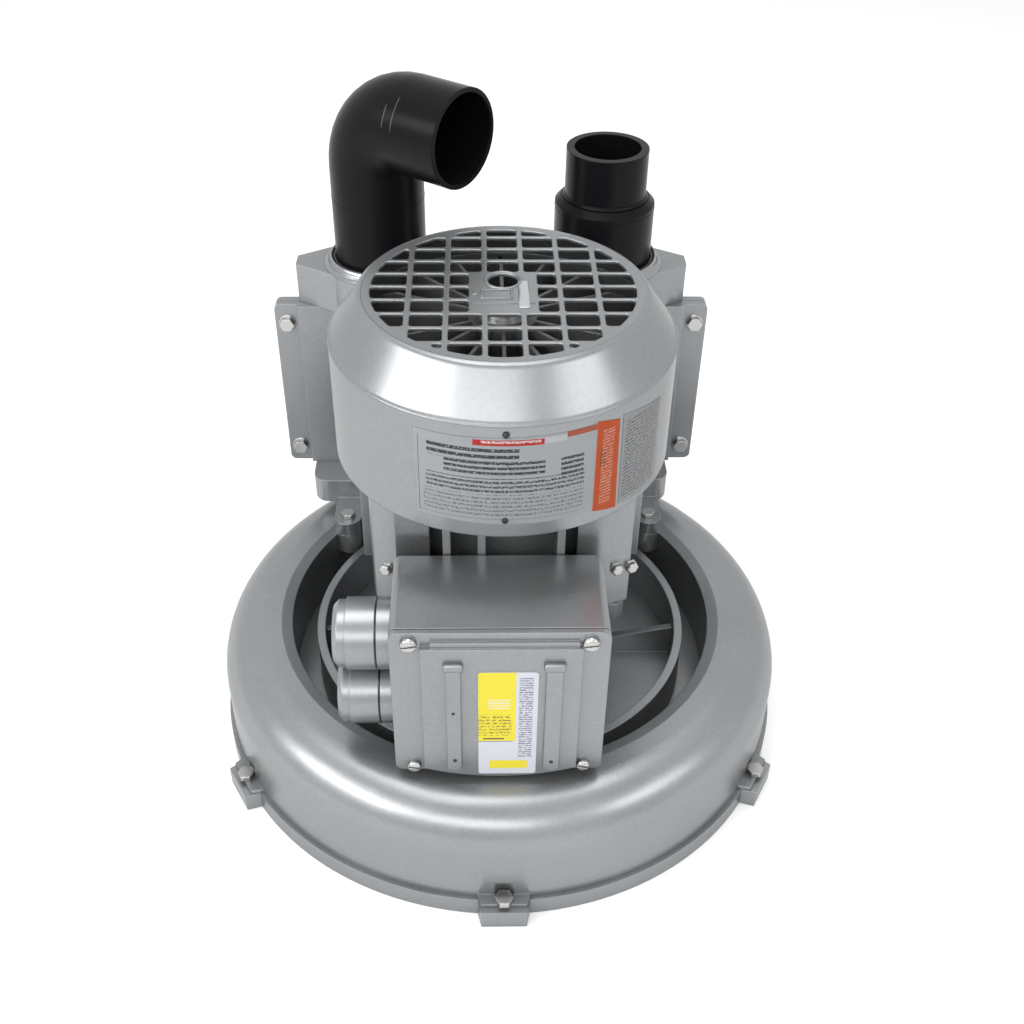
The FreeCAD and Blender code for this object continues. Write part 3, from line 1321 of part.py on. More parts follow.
doc.recompute()
for thing in doc.Objects:
    if "Invalid" in thing.State or "Error" in thing.State:
        raise RuntimeError(f"{thing.Label} failed: {thing.State}")
labels = [thing.Label for thing in nodes]
if len(set(labels)) != len(labels):
    raise RuntimeError("two sub-parts share a name")
os.makedirs("parts", exist_ok=True)
for thing in nodes:
    shape = thing.Shape
    if shape.isNull() or not shape.isValid() or shape.Volume <= 0:
        raise RuntimeError(f"{thing.Label} has no valid shape")
    shape.exportStep(f"parts/{thing.Label}.step")
print(len(nodes), "sub-parts written")
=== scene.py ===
import bmesh
import bpy
import math
from mathutils import Matrix, Vector


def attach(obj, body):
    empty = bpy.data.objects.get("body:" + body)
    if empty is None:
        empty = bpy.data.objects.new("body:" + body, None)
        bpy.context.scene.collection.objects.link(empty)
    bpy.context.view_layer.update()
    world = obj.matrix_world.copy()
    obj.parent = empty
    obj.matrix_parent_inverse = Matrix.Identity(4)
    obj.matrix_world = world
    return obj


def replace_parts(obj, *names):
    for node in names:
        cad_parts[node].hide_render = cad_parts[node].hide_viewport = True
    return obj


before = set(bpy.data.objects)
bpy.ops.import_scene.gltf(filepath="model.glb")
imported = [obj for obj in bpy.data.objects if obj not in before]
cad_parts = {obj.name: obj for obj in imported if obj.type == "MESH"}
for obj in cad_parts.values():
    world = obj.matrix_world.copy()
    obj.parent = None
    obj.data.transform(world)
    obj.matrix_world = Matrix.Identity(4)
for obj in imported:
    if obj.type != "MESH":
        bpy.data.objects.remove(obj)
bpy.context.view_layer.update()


# Camera at the photograph's viewpoint: a normal lens about a metre away that looks down on the
# blower from its terminal box side, rolled a little so that the object leans as it does there.
optics = bpy.data.cameras.new("camera")
optics.lens = 42.89
optics.sensor_width = 36
optics.shift_x = 0.0108
optics.clip_start = 0.05
optics.clip_end = 50
eye = bpy.data.objects.new("camera", optics)
bpy.context.collection.objects.link(eye)
eye.location = (-0.0155, -0.6832, 0.7116)
eye.rotation_mode = "QUATERNION"
ahead = Vector((0.01785, 0.7865, -0.6176)).to_track_quat("-Z", "Y").to_matrix().to_4x4()
eye.rotation_quaternion = (ahead @ Matrix.Rotation(math.radians(0.6), 4, "Z")).to_quaternion()
bpy.context.scene.camera = eye


# Floor and light: a plain white floor in a white surrounding, with soft boxes in front, beside and
# above, as in a product photograph with hardly any shadow.
def math_node(tree, operation, *values):
    """The result of one maths node whose inputs are sockets or plain numbers."""
    node = tree.nodes.new("ShaderNodeMath")
    node.operation = operation
    for socket, value in zip(node.inputs, values):
        if isinstance(value, bpy.types.NodeSocket):
            tree.links.new(value, socket)
        else:
            socket.default_value = value
    return node.outputs[0]


def seen_strength(tree, seen, unseen):
    """One strength where the eye, a mirror or glass looks on, and another for all other rays."""
    path = tree.nodes.new("ShaderNodeLightPath")
    rays = path.outputs["Is Camera Ray"]
    for kind in ("Is Glossy Ray", "Is Transmission Ray"):
        rays = math_node(tree, "ADD", rays, path.outputs[kind])
        rays.node.use_clamp = True
    return math_node(tree, "MULTIPLY_ADD", rays, seen - unseen, unseen)


scene = bpy.context.scene
scene.view_settings.view_transform = "Standard"
scene.view_settings.look = "None"
scene.world = bpy.data.worlds.new("studio")
scene.world.use_nodes = True
sky = scene.world.node_tree
sky.nodes["Background"].inputs["Color"].default_value = (1, 1, 1, 1)
sky.links.new(seen_strength(sky, 1.0, 0.75), sky.nodes["Background"].inputs["Strength"])

floor_paint = bpy.data.materials.new("floor_white")
floor_paint.use_nodes = True
floor_shader = floor_paint.node_tree.nodes["Principled BSDF"]
floor_shader.inputs["Base Color"].default_value = (0.72, 0.72, 0.72, 1)
floor_shader.inputs["Roughness"].default_value = 0.9
floor_shader.inputs["Specular IOR Level"].default_value = 0.1
floor_shader.inputs["Emission Color"].default_value = (1, 1, 1, 1)
floor_paint.node_tree.links.new(seen_strength(floor_paint.node_tree, 0.25, 0.0),
                                floor_shader.inputs["Emission Strength"])
floor_mesh = bpy.data.meshes.new("floor")
bm = bmesh.new()
bmesh.ops.create_grid(bm, x_segments=1, y_segments=1, size=2.4)
bm.to_mesh(floor_mesh)
bm.free()
floor_mesh.materials.append(floor_paint)
floor = bpy.data.objects.new("floor", floor_mesh)
bpy.context.collection.objects.link(floor)
floor.location.z = -0.0003

lamp_aim = Vector((0, 0, 0.2))
for name, place, width, depth, power in (
    ("front", (-0.3, -2.0, 1.4), 1.7, 0.7, 14),
    ("left", (-1.75, -1.05, 1.35), 1.8, 0.7, 29),
    ("right", (1.7, -1.2, 1.35), 1.4, 0.7, 10),
    ("top", (-0.1, 0.2, 2.3), 1.6, 1.2, 25),
):
    lamp = bpy.data.lights.new(name, "AREA")
    lamp.energy = power
    lamp.shape = "RECTANGLE"
    lamp.size = width
    lamp.size_y = depth
    stand = bpy.data.objects.new(name, lamp)
    bpy.context.collection.objects.link(stand)
    stand.location = place
    stand.rotation_mode = "QUATERNION"
    stand.rotation_quaternion = (lamp_aim - Vector(place)).to_track_quat("-Z", "Y")


# Ring housing and impeller cover: two aluminium castings with the side channel between them. The
# silver paint is a semi matt lacquer with a fine grain and slow changes of tone, with painted shade in
# corners.
def surface_group():
    """A node group for tone, roughness, relief and painted corner shade of painted, plated or moulded
    surfaces.
    """
    tree = bpy.data.node_groups.new("surface_finish", "ShaderNodeTree")
    for name, kind in (("Base color", "NodeSocketColor"), ("Tone change", "NodeSocketFloat"),
                       ("Grain size", "NodeSocketFloat"), ("Grain height", "NodeSocketFloat"),
                       ("Roughness", "NodeSocketFloat"), ("Corner shade", "NodeSocketFloat")):
        tree.interface.new_socket(name, in_out="INPUT", socket_type=kind)
    for name, kind in (("Color", "NodeSocketColor"), ("Roughness", "NodeSocketFloat"),
                       ("Normal", "NodeSocketVector")):
        tree.interface.new_socket(name, in_out="OUTPUT", socket_type=kind)
    nodes, links = tree.nodes, tree.links
    given = nodes.new("NodeGroupInput")
    result = nodes.new("NodeGroupOutput")
    place = nodes.new("ShaderNodeTexCoord")

    grain = nodes.new("ShaderNodeTexNoise")
    grain.inputs["Detail"].default_value = 3
    links.new(place.outputs["Object"], grain.inputs["Vector"])
    links.new(given.outputs["Grain size"], grain.inputs["Scale"])
    cloud = nodes.new("ShaderNodeTexNoise")
    cloud.inputs["Scale"].default_value = 14
    cloud.inputs["Detail"].default_value = 5
    links.new(place.outputs["Object"], cloud.inputs["Vector"])
    drift = math_node(tree, "SUBTRACT", cloud.outputs["Fac"], 0.5)
    speck = math_node(tree, "SUBTRACT", grain.outputs["Fac"], 0.5)
    change = math_node(tree, "ADD", drift, speck)
    amount = math_node(tree, "MULTIPLY_ADD", change, given.outputs["Tone change"], 1.0)
    toned = nodes.new("ShaderNodeVectorMath")
    toned.operation = "SCALE"
    links.new(given.outputs["Base color"], toned.inputs[0])
    links.new(amount, toned.inputs["Scale"])

    # Painted shade: where ambient occlusion finds corners and recesses, the colour is mixed towards near
    # black by the given amount.
    corner = nodes.new("ShaderNodeAmbientOcclusion")
    corner.samples = 4
    corner.inputs["Distance"].default_value = 0.02
    shade = nodes.new("ShaderNodeMapRange")
    shade.inputs["From Min"].default_value = 0.25
    shade.inputs["From Max"].default_value = 0.85
    shade.inputs["To Min"].default_value = 1.0
    shade.inputs["To Max"].default_value = 0.0
    links.new(corner.outputs["AO"], shade.inputs["Value"])
    corner_shade_amount = math_node(tree, "MULTIPLY", shade.outputs["Result"], given.outputs["Corner shade"])
    corner_shade_amount.node.use_clamp = True
    corner_shade_mix = nodes.new("ShaderNodeMix")
    corner_shade_mix.data_type = "RGBA"
    corner_shade_mix.inputs["B"].default_value = (0.05, 0.052, 0.055, 1)
    links.new(corner_shade_amount, corner_shade_mix.inputs["Factor"])
    links.new(toned.outputs[0], corner_shade_mix.inputs["A"])
    links.new(corner_shade_mix.outputs["Result"], result.inputs["Color"])

    rough = math_node(tree, "MULTIPLY_ADD", drift, 0.22, given.outputs["Roughness"])
    links.new(rough, result.inputs["Roughness"])

    edge = nodes.new("ShaderNodeBevel")
    edge.samples = 4
    edge.inputs["Radius"].default_value = 0.0011
    bump = nodes.new("ShaderNodeBump")
    bump.inputs["Distance"].default_value = 0.0006
    links.new(edge.outputs["Normal"], bump.inputs["Normal"])
    links.new(grain.outputs["Fac"], bump.inputs["Height"])
    links.new(given.outputs["Grain height"], bump.inputs["Strength"])
    links.new(bump.outputs["Normal"], result.inputs["Normal"])
    return tree


surface_finish = surface_group()


def finish_material(name, color, metallic, roughness, grain=900, height=0.15, tone=0.18, corner_shade=0.5,
                    gloss=0.5):
    """A material whose colour, painted corner shade, roughness and relief come from the shared surface group.
    """
    material = bpy.data.materials.new(name)
    material.use_nodes = True
    nodes, links = material.node_tree.nodes, material.node_tree.links
    shader = nodes["Principled BSDF"]
    shader.inputs["Metallic"].default_value = metallic
    shader.inputs["Specular IOR Level"].default_value = gloss
    finish = nodes.new("ShaderNodeGroup")
    finish.node_tree = surface_finish
    for socket, value in (("Base color", (*color, 1)), ("Tone change", tone), ("Grain size", grain),
                          ("Grain height", height), ("Roughness", roughness), ("Corner shade", corner_shade)):
        finish.inputs[socket].default_value = value
    for socket, target in (("Color", "Base Color"), ("Roughness", "Roughness"), ("Normal", "Normal")):
        links.new(finish.outputs[socket], shader.inputs[target])
    return material


def dress(material, *names):
    """Give CAD nodes their material."""
    for name in names:
        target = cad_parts[name]
        if not target.material_slots:
            target.data.materials.append(material)
        for slot in target.material_slots:
            slot.material = material


silver = finish_material("silver_paint", (0.27, 0.28, 0.288), 0.75, 0.3, grain=380, height=0.025,
                         tone=0.2, corner_shade=0.18)
silver.node_tree.nodes["Principled BSDF"].inputs["Specular Tint"].default_value = (0.72, 0.72, 0.72, 1)
dress(silver, "side_channel_housing", "impeller_cover")


# Screws of the blower stage: zinc plated steel. Six clamp the cover to the ring by its lugs, and
# the flange bolts hold the motor's bell on the seat in the middle of the ring.
zinc = finish_material("bright_zinc", (0.46, 0.46, 0.45), 0.95, 0.25, grain=1500, height=0.05, corner_shade=0.3)
dress(zinc, "cover_screws", "flange_bolts")


# Impeller: a cast aluminium wheel, left raw, with a ring of blades that runs in the side channel.
# A key drives it from the shaft, and a bolt and washer hold it on.
raw_casting = finish_material("raw_casting", (0.5, 0.5, 0.51), 0.8, 0.5, grain=600, height=0.3)
dress(raw_casting, "impeller")
dress(zinc, "impeller_bolt", "impeller_washer")


# Shaft with its two ball bearings, the key and the ring that keeps the fan on it: turned and
# ground steel, unpainted.
steel = finish_material("turned_steel", (0.5, 0.5, 0.5), 1.0, 0.3, grain=1200, height=0.05, corner_shade=0.2)
dress(steel, "motor_shaft", "impeller_key", "fan_retaining_ring", "drive_end_bearing_outer_ring",
      "drive_end_bearing_inner_ring", "fan_end_bearing_outer_ring", "fan_end_bearing_inner_ring")


# Rotor and stator: dull iron laminations pressed into the frame and onto the shaft, with the
# copper windings lacquered in their slots.
iron = finish_material("dull_iron", (0.09, 0.09, 0.1), 0.6, 0.6)
dress(iron, "stator_core", "rotor_core")
copper = finish_material("lacquered_copper", (0.5, 0.2, 0.09), 0.8, 0.4, grain=400, height=0.6)
dress(copper, "stator_windings")


# Shaft seal: a black rubber lip ring round the shaft, pressed into the housing below the motor.
# The same rubber serves for the gaskets.
rubber = finish_material("black_rubber", (0.015, 0.015, 0.015), 0.0, 0.7, height=0.3)
dress(rubber, "shaft_seal")


# Motor frame and end shields: painted aluminium castings drawn together by tie rods. Bright
# hexagon heads stand on the frame's corner columns beside the terminal box.
def finished_piece(name, bm, material, body="blower", sharp=38):
    """A mesh object that rides on a body, smooth apart from its sharp edges."""
    bmesh.ops.recalc_face_normals(bm, faces=bm.faces)
    for face in bm.faces:
        face.smooth = True
    for edge in bm.edges:
        if edge.calc_face_angle(0) > math.radians(sharp):
            edge.smooth = False
    mesh = bpy.data.meshes.new(name)
    bm.to_mesh(mesh)
    bm.free()
    mesh.materials.append(material)
    made = bpy.data.objects.new(name, mesh)
    bpy.context.collection.objects.link(made)
    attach(made, body)
    return made


def turn_profile(bm, profile, centre=(0, 0), steps=96):
    """Spin a closed outline of (radius, height) in millimetres about a vertical line at centre."""
    places = [bm.verts.new(((centre[0] + r) / 1000, centre[1] / 1000, z / 1000)) for r, z in profile]
    edges = [bm.edges.new(pair) for pair in zip(places, places[1:] + places[:1])]
    bmesh.ops.spin(bm, geom=places + edges, cent=(centre[0] / 1000, centre[1] / 1000, 0), axis=(0, 0, 1),
                   angle=math.tau, steps=steps, use_merge=True)


def set_in(group, bm, place, turn):
    """Turn a small shape, move it to a place in millimetres and add it to a group of its like."""
    bmesh.ops.transform(bm, matrix=Matrix.Translation(Vector(place) / 1000) @ turn.to_4x4(), verts=bm.verts)
    held = bpy.data.meshes.new("held")
    bm.to_mesh(held)
    bm.free()
    group.from_mesh(held)
    bpy.data.meshes.remove(held)


dress(silver, "drive_end_shield", "motor_frame", "fan_end_shield")
dress(zinc, "tie_rods")
corner_bolts = bmesh.new()
for x, y, z, lean in ((-76.6, -68.4, 182, -0.4), (75.2, -69.2, 182, 0.4), (85.6, -64.6, 180, 0.4)):
    bolt = bmesh.new()
    turn_profile(bolt, [(0.02, -1.0), (4.9, -1.0), (4.9, 0.3), (4.6, 0.7), (4.3, 0.8), (4.3, 3.4),
                        (3.7, 4.0), (0.02, 4.0)], steps=6)
    set_in(corner_bolts, bolt, (x, y, z), Vector((lean, -0.92, 0)).to_track_quat("Z", "Y").to_matrix())
finished_piece("corner_bolts", corner_bolts, zinc)


# Cooling fan: a moulded plastic wheel of plain radial blades, pushed on the shaft's upper end
# under the guard and seen through it.
fan_plastic = finish_material("fan_plastic", (0.1, 0.1, 0.102), 0.0, 0.22, grain=500, height=0.05,
                              tone=0.5, corner_shade=0.6)
dress(fan_plastic, "cooling_fan")


# Fan cowl: a round sheet of steel in the same silver paint. Small dark slotted heads hold the cowl
# below and the guard above, a quarter turn apart, and stand for the plain screws there.
COWL_RADIUS = 111.1
COWL_SCREWS = 256
GUARD_SCREWS = 317.9


def slotted_head(group, place, facing, radius, height, slot):
    """Add a domed head with a cut slot, at a place in millimetres, that looks along facing."""
    bm = bmesh.new()
    turn_profile(bm, [(0.02, 0), (radius, 0), (radius, height * 0.6), (radius * 0.92, height * 0.85),
                      (radius * 0.75, height), (0.02, height)], steps=20)
    for offset in (-slot / 2, slot / 2):
        bmesh.ops.bisect_plane(bm, geom=bm.verts[:] + bm.edges[:] + bm.faces[:],
                               plane_co=(0, offset / 1000, 0), plane_no=(0, 1, 0))
    top = [f for f in bm.faces if f.calc_center_median().z > height * 0.0008
           and abs(f.calc_center_median().y) < slot / 2000]
    cut = bmesh.ops.extrude_face_region(bm, geom=top)
    sunk = [v for v in cut["geom"] if isinstance(v, bmesh.types.BMVert)]
    bmesh.ops.delete(bm, geom=top, context="FACES")
    bmesh.ops.translate(bm, vec=(0, 0, -0.0004 * height), verts=sunk)
    slot_turn = Matrix.Rotation(0.5 + place[2], 3, "Z").to_quaternion()
    set_in(group, bm, place, (Vector(facing).to_track_quat("Z", "Y") @ slot_turn).to_matrix())


dress(silver, "fan_cowl")
dress(zinc, "cowl_screws", "guard_screws")
dark_steel = finish_material("dark_steel", (0.06, 0.06, 0.06), 0.8, 0.35, grain=1200, height=0.05)
for name, plain, height in (("cowl_rivets", "cowl_screws", COWL_SCREWS),
                            ("guard_rivets", "guard_screws", GUARD_SCREWS)):
    heads = bmesh.new()
    for x, y in ((0, -1), (0, 1), (-1, 0), (1, 0)):
        slotted_head(heads, (x * COWL_RADIUS, y * COWL_RADIUS, height), (x, y, 0), 2.0, 1.5, 0.7)
    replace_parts(finished_piece(name, heads, dark_steel), plain)


# Cowl labels: thin printed foil that follows the cowl, laid a little askew, for the plain sheets.
# The print is plain blocks of colour and rows of fine dashes that spell nothing.
def block_group():
    """A node group that is 1 inside a rectangle and 0 outside it."""
    tree = bpy.data.node_groups.new("block_mask", "ShaderNodeTree")
    for name in ("Across", "Up", "Left", "Right", "Low", "High"):
        tree.interface.new_socket(name, in_out="INPUT", socket_type="NodeSocketFloat")
    tree.interface.new_socket("Mask", in_out="OUTPUT", socket_type="NodeSocketFloat")
    given = tree.nodes.new("NodeGroupInput").outputs
    result = tree.nodes.new("NodeGroupOutput")
    tests = [math_node(tree, "GREATER_THAN", given[more], given[less])
             for more, less in (("Across", "Left"), ("Right", "Across"), ("Up", "Low"), ("High", "Up"))]
    sides = math_node(tree, "MULTIPLY", tests[0], tests[1])
    ends = math_node(tree, "MULTIPLY", tests[2], tests[3])
    tree.links.new(math_node(tree, "MULTIPLY", sides, ends), result.inputs["Mask"])
    return tree


block_mask = block_group()


def place_group(name, across):
    """A node group that gives a place as Across, from a function of X and Y, and Up in millimetres."""
    tree = bpy.data.node_groups.new(name, "ShaderNodeTree")
    for socket in ("Across", "Up"):
        tree.interface.new_socket(socket, in_out="OUTPUT", socket_type="NodeSocketFloat")
    result = tree.nodes.new("NodeGroupOutput")
    place = tree.nodes.new("ShaderNodeTexCoord")
    parts = tree.nodes.new("ShaderNodeSeparateXYZ")
    tree.links.new(place.outputs["Object"], parts.inputs[0])
    tree.links.new(across(tree, parts.outputs["X"], parts.outputs["Y"]), result.inputs["Across"])
    tree.links.new(math_node(tree, "MULTIPLY", parts.outputs["Z"], 1000.0), result.inputs["Up"])
    return tree


def label_material(name, place_tree, ground, blocks, prints, dash_pace):
    """Foil in a ground colour with blocks and prints laid over it.

    A block is (colour, left, right, low, high). A print is a field of dashed rows: (colour, left,
    right, low, high, pitch of the rows, share of ink).
    """
    material = bpy.data.materials.new(name)
    material.use_nodes = True
    tree = material.node_tree
    nodes, links = tree.nodes, tree.links
    shader = nodes["Principled BSDF"]
    shader.inputs["Roughness"].default_value = 0.45
    shader.inputs["Coat Weight"].default_value = 0.1
    place = nodes.new("ShaderNodeGroup")
    place.node_tree = place_tree

    def block(left, right, low, high):
        test = nodes.new("ShaderNodeGroup")
        test.node_tree = block_mask
        links.new(place.outputs["Across"], test.inputs["Across"])
        links.new(place.outputs["Up"], test.inputs["Up"])
        for socket, value in (("Left", left), ("Right", right), ("Low", low), ("High", high)):
            test.inputs[socket].default_value = value
        return test.outputs["Mask"]

    def lay(under, factor, over):
        mix = nodes.new("ShaderNodeMix")
        mix.data_type = "RGBA"
        links.new(factor, mix.inputs["Factor"])
        if isinstance(under, bpy.types.NodeSocket):
            links.new(under, mix.inputs["A"])
        else:
            mix.inputs["A"].default_value = (*under, 1)
        mix.inputs["B"].default_value = (*over, 1)
        return mix.outputs["Result"]

    color = ground
    for over, *edges in blocks:
        color = lay(color, block(*edges), over)
    spot = nodes.new("ShaderNodeCombineXYZ")
    links.new(place.outputs["Across"], spot.inputs["X"])
    links.new(place.outputs["Up"], spot.inputs["Y"])
    for over, left, right, low, high, pitch, share in prints:
        stretch = nodes.new("ShaderNodeMapping")
        stretch.inputs["Scale"].default_value = (dash_pace, 2.2 / pitch, 1)
        links.new(spot.outputs[0], stretch.inputs["Vector"])
        grain = nodes.new("ShaderNodeTexNoise")
        grain.inputs["Scale"].default_value = 1.0
        grain.inputs["Detail"].default_value = 2
        links.new(stretch.outputs[0], grain.inputs["Vector"])
        dash = math_node(tree, "GREATER_THAN", grain.outputs["Fac"], 1 - share)
        row = math_node(tree, "FRACT", math_node(tree, "DIVIDE", place.outputs["Up"], pitch))
        ink = math_node(tree, "MULTIPLY", dash, math_node(tree, "GREATER_THAN", row, 0.45))
        ink = math_node(tree, "MULTIPLY", ink, block(left, right, low, high))
        color = lay(color, math_node(tree, "MULTIPLY", ink, 0.94), over)
    links.new(color, shader.inputs["Base Color"])
    return material


def degrees_round_cowl(tree, x, y):
    turn = math_node(tree, "ARCTAN2", x, math_node(tree, "MULTIPLY", y, -1.0))
    return math_node(tree, "MULTIPLY", turn, 57.29578)


def cowl_sheet(bm, top_left, top_right, low_right, low_left):
    """A curved foil between four (degrees, height) corners."""
    foil_radius = 0.1113
    rows, steps = 8, 24
    grid = []
    for row in range(rows + 1):
        line = []
        for step in range(steps + 1):
            top = Vector(top_left).lerp(Vector(top_right), step / steps)
            low = Vector(low_left).lerp(Vector(low_right), step / steps)
            degrees, height = top.lerp(low, row / rows)
            turn = math.radians(degrees)
            line.append(bm.verts.new((foil_radius * math.sin(turn), -foil_radius * math.cos(turn),
                                      height / 1000)))
        grid.append(line)
    for upper, lower in zip(grid, grid[1:]):
        for k in range(steps):
            bm.faces.new((upper[k], lower[k], lower[k + 1], upper[k + 1]))


FOIL_THICKNESS = -0.00035
INK = (0.03, 0.03, 0.035)
RULE = (0.2, 0.2, 0.21)
cowl_place = place_group("place_on_cowl", degrees_round_cowl)
rating_print = label_material(
    "rating_label_print", cowl_place, (0.50, 0.52, 0.54),
    [((0.60, 0.025, 0.02), -10.0, 11.5, 310.2, 314.2),
     ((0.62, 0.63, 0.65), 11.5, 18.6, 310.6, 314.6),
     ((0.5, 0.12, 0.06), 18.6, 28.7, 312.6, 316.4),
     ((0.66, 0.1, 0.01), 28.75, 40.0, 240, 330),
     (RULE, -27.6, -27.3, 256, 311),
     (RULE, -27.6, 26.0, 256.6, 256.9),
     ((0.35, 0.07, 0.01), 30.5, 32.5, 284, 296)],
    [((0.85, 0.75, 0.72), -7.5, 10.5, 311.2, 314.4, 3.2, 0.55),
     (INK, -24.5, 4.0, 299, 309, 4.4, 0.62),
     (INK, -19.0, 12.0, 288, 300, 3.6, 0.6),
     (INK, 17.0, 24.5, 286, 300, 3.6, 0.6),
     (INK, -25.0, 25.0, 276, 287, 3.2, 0.54),
     ((0.16, 0.17, 0.18), -26.0, 25.0, 258, 275, 3.0, 0.5),
     ((0.80, 0.55, 0.42), 31.0, 35.5, 255, 310, 2.2, 0.5)],
    2.4)
rating_foil = bmesh.new()
cowl_sheet(rating_foil, (-28.9, 314.6), (28.7, 316.6), (28.7, 252.6), (-28.3, 253.8))
cowl_sheet(rating_foil, (28.7, 317.8), (37.3, 314.0), (38.2, 247.6), (28.7, 252.0))
bmesh.ops.solidify(rating_foil, geom=rating_foil.faces[:], thickness=FOIL_THICKNESS)
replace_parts(finished_piece("rating_foil", rating_foil, rating_print), "rating_label")

wiring_print = label_material(
    "wiring_label_print", cowl_place, (0.44, 0.45, 0.46), [],
    [((0.06, 0.062, 0.065), 40.2, 57.8, 251, 311, 2.4, 0.5)],
    2.0)
wiring_foil = bmesh.new()
cowl_sheet(wiring_foil, (38.8, 315.4), (59.0, 309.4), (60.4, 246.0), (39.4, 248.6))
bmesh.ops.solidify(wiring_foil, geom=wiring_foil.faces[:], thickness=FOIL_THICKNESS)
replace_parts(finished_piece("wiring_foil", wiring_foil, wiring_print), "wiring_label")


# Fan guard: a painted pressing with a conical shoulder, a rolled edge and a grille of thin bars
# between rounded holes. It stands for the plain guard, on the same pitch of bars.
GRILLE_RADIUS = 83.4
COLUMN_PITCH = 23.5
COLUMN_HALF = 1.3
ROW_PITCH = 17.3
ROW_SHIFT = 3
ROW_HALF = 1.0
HOLE_ROUNDING = 2.6
PLATE_HALF = 21
SHAFT_HOLE = 9.9
SHAFT_HOLE_SHIFT = 10
FIELD_END = 99


def kept_side(points, normal, least):
    """The part of a convex outline that lies at least this far along normal."""
    kept = []
    for here, there in zip(points, points[1:] + points[:1]):
        a = here.dot(normal) - least
        b = there.dot(normal) - least
        if a >= 0:
            kept.append(here)
        if a * b < 0:
            kept.append(here.lerp(there, a / (a - b)))
    return kept


def grille_hole(left, right, low, high):
    """Outline of one hole inside the circle of the grille, with its corners rounded."""
    sides = [((1, 0), left), ((-1, 0), -right), ((0, 1), low), ((0, -1), -high)]
    for k in range(60):
        turn = math.tau * k / 60
        sides.append(((-math.cos(turn), -math.sin(turn)), -GRILLE_RADIUS))
    points = [Vector((x * FIELD_END, y * FIELD_END)) for x, y in ((-1, -1), (1, -1), (1, 1), (-1, 1))]
    for normal, least in sides:
        points = kept_side(points, Vector(normal), least + HOLE_ROUNDING)
    points = [p for k, p in enumerate(points) if (p - points[k - 1]).length > 0.01]
    outline = []
    for k, place in enumerate(points):
        into = place - points[k - 1]
        out = points[(k + 1) % len(points)] - place
        start = math.atan2(-into.x, into.y)
        sweep = (math.atan2(-out.x, out.y) - start) % math.tau
        for step in range(5):
            turn = start + sweep * step / 4
            outline.append(place + Vector((math.cos(turn), math.sin(turn))) * HOLE_ROUNDING)
    return outline


def round_outline(radius, steps, shift=0):
    """A circle as a closed outline, with its middle shifted back."""
    return [Vector((math.cos(math.tau * k / steps) * radius, shift + math.sin(math.tau * k / steps) * radius))
            for k in range(steps)]


columns = [(k + 0.5) * COLUMN_PITCH for k in range(-3, 3)]
rows = [ROW_SHIFT + ROW_PITCH * k for k in range(-4, 5)]
plate_left, plate_right = columns[2:4]
plate_rows = rows[2:5]
outlines = [round_outline(89.4, 120), round_outline(SHAFT_HOLE, 32, SHAFT_HOLE_SHIFT)]
for left, right in zip([-FIELD_END] + columns, columns + [FIELD_END]):
    for low, high in zip([-FIELD_END] + rows, rows + [FIELD_END]):
        near, far = left + COLUMN_HALF, right - COLUMN_HALF
        if low in plate_rows:
            if left == plate_left:
                continue
            near = PLATE_HALF if left == plate_right else near
            far = -PLATE_HALF if right == plate_left else far
        hole = grille_hole(near, far, low + ROW_HALF, high - ROW_HALF)
        if len(hole) > 2:
            outlines.append(hole)
plan = bpy.data.curves.new("grille_plan", "CURVE")
plan.dimensions = "2D"
plan.fill_mode = "BOTH"
plan.extrude = 0.0007
plan.bevel_depth = 0.0004
plan.bevel_resolution = 2
for outline in outlines:
    line = plan.splines.new("POLY")
    line.points.add(len(outline) - 1)
    for point, place in zip(line.points, outline):
        point.co = (place.x / 1000, place.y / 1000, 0, 1)
    line.use_cyclic_u = True
plate = bpy.data.objects.new("grille_plan", plan)
guard = bmesh.new()
guard.from_mesh(bpy.data.meshes.new_from_object(plate))
bpy.data.objects.remove(plate)
bmesh.ops.translate(guard, vec=(0, 0, 0.3514), verts=guard.verts)
turn_profile(guard, [(88.6, 352.5), (89.6, 352.4), (91.0, 351.8), (92.2, 350.6), (92.8, 349.7),
                     (109.0, 326.0), (109.6, 325.1),
                     (110.4, 324.5), (111.2, 324.1), (111.5, 323.5), (111.4, 322.9), (109.3, 322.9),
                     (108.5, 324.0), (90.4, 350.0), (88.6, 350.3)], steps=160)
dress(silver, "fan_guard")
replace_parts(finished_piece("guard_grille", guard, silver), "fan_guard")


# Plate in the middle of the grille: a low pressed frame and a raised rim round the shaft hole, in
# paint, with a bright riveted tab beside them.
def rounded_bar(bm, low, high, edge, segments=2):
    """A block between two corners in millimetres, with rounded edges."""
    made = bmesh.ops.create_cube(bm, size=1)
    middle = [(a + b) / 2000 for a, b in zip(low, high)]
    span = [(b - a) / 1000 for a, b in zip(low, high)]
    bmesh.ops.scale(bm, vec=span, verts=made["verts"])
    bmesh.ops.translate(bm, vec=middle, verts=made["verts"])
    edges = list({e for v in made["verts"] for e in v.link_edges})
    bmesh.ops.bevel(bm, geom=edges, offset=edge / 1000, segments=segments, affect="EDGES", profile=0.5)


